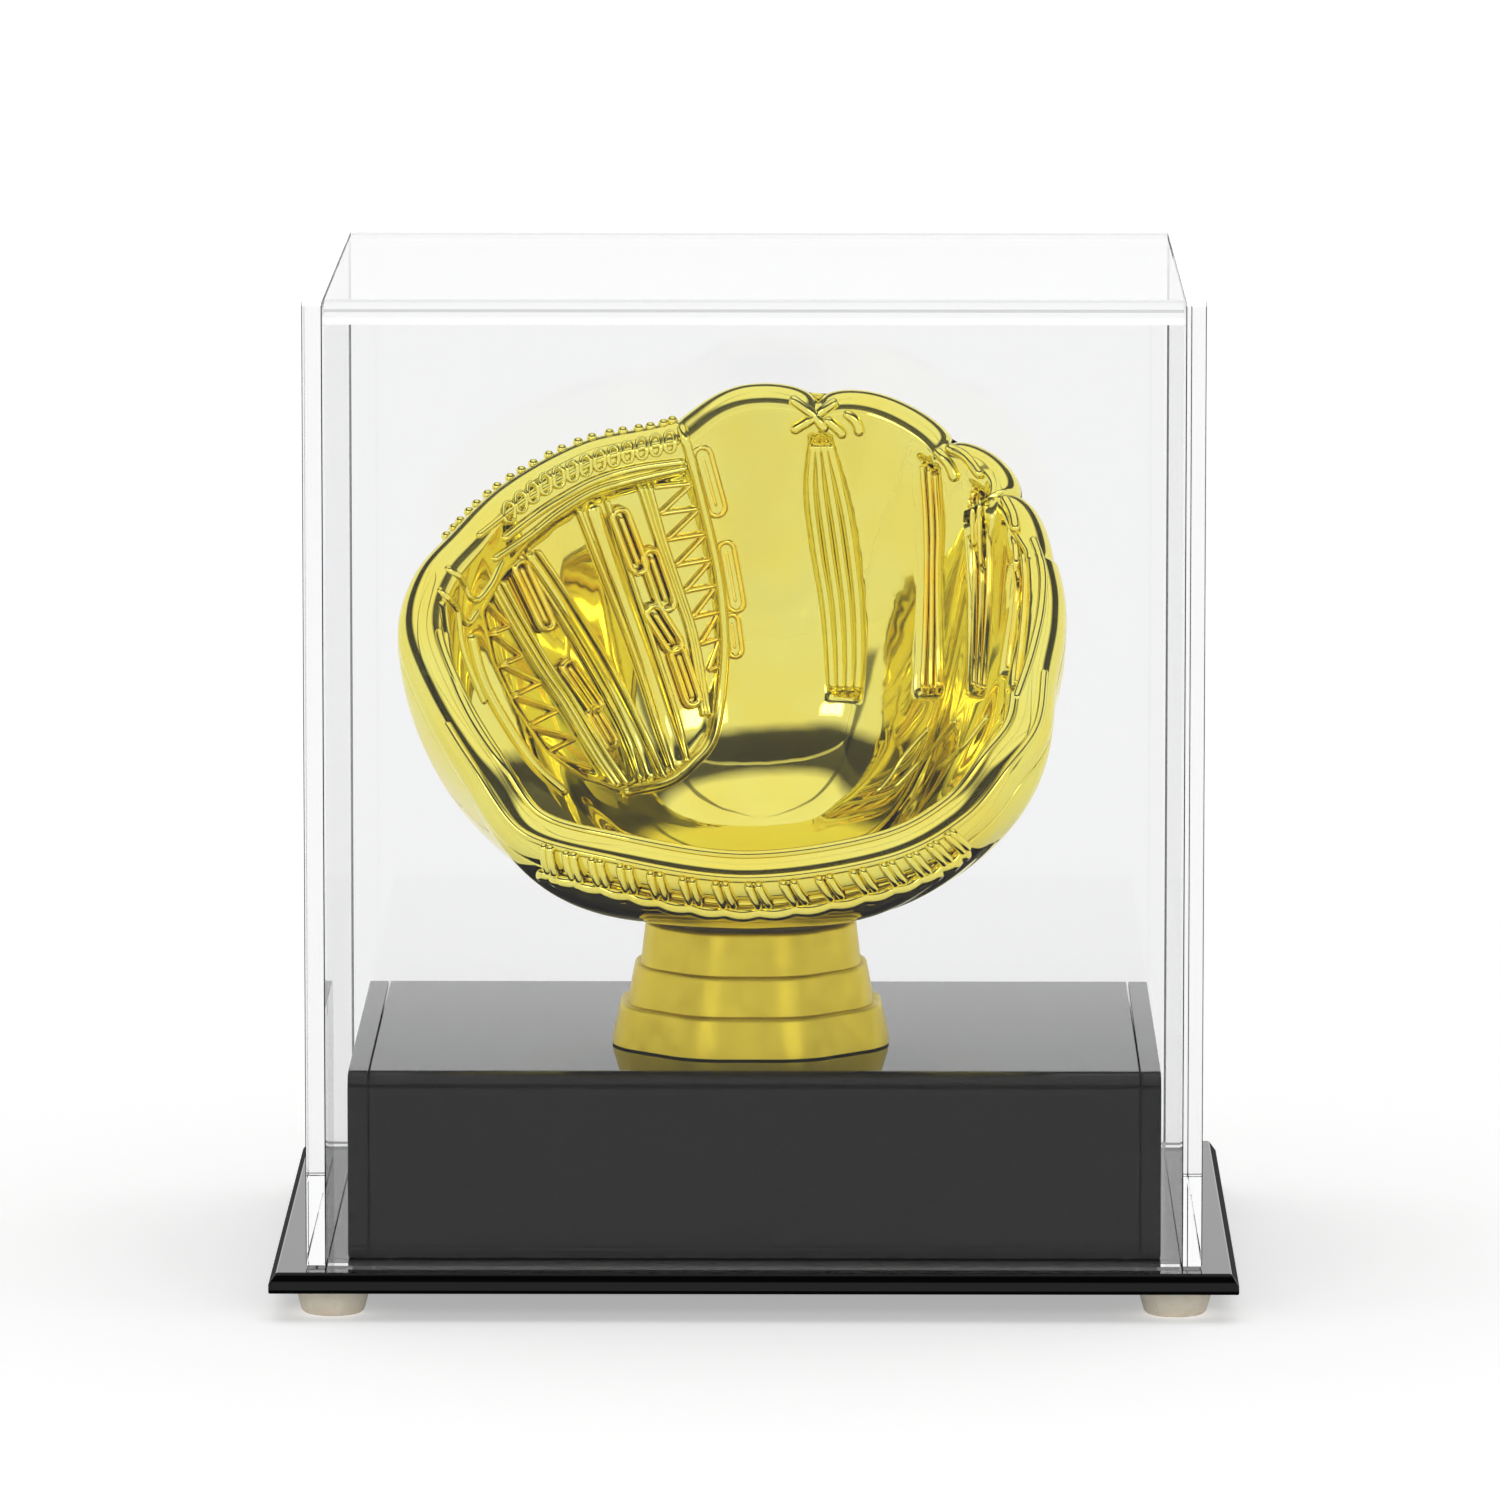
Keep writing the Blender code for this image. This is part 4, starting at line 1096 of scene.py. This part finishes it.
def add_glove(gold, painted_crevice):
    skin, outward = palm_skin(PALM_SEGMENTS, PALM_RINGS, LIP_STEPS)
    normals = grid_normals(skin)
    hidden = skin[::HIDDEN_STEP] - PALM_THICKNESS * normals[::HIDDEN_STEP]
    hidden[0] = skin[0] - outward * GLOVE_WALL
    floor = np.array(POCKET_FLOOR)
    rings = list(sink_panels(skin, normals)[::-1]) + list(hidden)
    place = np.array(STAND)
    poles = (floor + place, floor - (0.0, 0.0, GLOVE_WALL) + place)
    mesh = loft_mesh("glove_palm", [ring + place for ring in rings], poles)
    finish_piece("glove_palm", mesh, gold, "stand", ("glove_palm_shell",))

    rim, outward, facing, at = glove_rim(BACK_SEGMENTS)
    edge = rim + RIM_WIDTH / 2 * outward - SEAM_GAP * facing
    seat = unit(rim * (1, 1, 0)) * SEAT_RADIUS + np.array((0.0, 0.0, SEAT_HEIGHT))
    tuck = np.interp(at, *zip(*BACK_TUCK))[:, None]
    down = unit(np.array((0.0, 0.0, -1.0)) * (1 - tuck) - unit(rim * (1, 1, 0)) * tuck)
    flatness = np.interp(at, *zip(*BACK_FLATNESS))[:, None]
    sweep = swept_rows(edge, down, seat, BACK_RINGS, flatness, BACK_SWELL, BACK_LOW_SWELL)
    wall = np.array([edge] + sweep + [seat])
    wall = scallop(wall, outward, at, BACK_NOTCH_FADE)
    inside = (wall + GLOVE_WALL * grid_normals(wall))[::HIDDEN_STEP]
    inside[0] = edge - outward * GLOVE_WALL
    rings = list(wall[::-1]) + list(inside)
    poles = (place + (0.0, 0.0, SEAT_HEIGHT), place + (0.0, 0.0, SEAT_HEIGHT + GLOVE_WALL))
    mesh = loft_mesh("glove_back", [ring + place for ring in rings], poles)
    finish_piece("glove_back", mesh, gold, "stand", ("glove_back_shell",))

    faces = strip_faces(len(skin), PALM_SEGMENTS)
    faces = np.concatenate((faces, strip_faces(len(wall), BACK_SEGMENTS) + len(skin) * PALM_SEGMENTS))
    points = np.concatenate((skin.reshape(-1, 3), wall.reshape(-1, 3)))
    tree = BVHTree.FromPolygons(points.tolist(), faces.tolist())
    add_finger_cords(tree, gold, painted_crevice)
    add_web(tree, gold, painted_crevice)
    add_edge_beads(tree, gold)
    add_thumb_and_heel(tree, gold)


def main():
    bpy.context.scene.view_settings.view_transform = "Standard"
    add_camera()
    add_world()
    add_floor(floor_paper())
    black = black_acrylic()
    clear = clear_acrylic()
    steel = zinc_steel()
    add_base(black)
    add_feet(bumper_rubber())
    add_boxes(black, clear, painted_glow_acrylic("clear_acrylic_painted_glow", 0.40), painted_glow_acrylic("clear_acrylic_painted_dim_line", 0.12))
    add_pedestal(satin_gold())
    add_glove(mirror_gold(), painted_crevice_gold())
    for node in ("mounting_bolt", "mounting_washer", "mounting_nut"):
        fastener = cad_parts[node]
        fastener.data.materials.clear()
        fastener.data.materials.append(steel)


main()
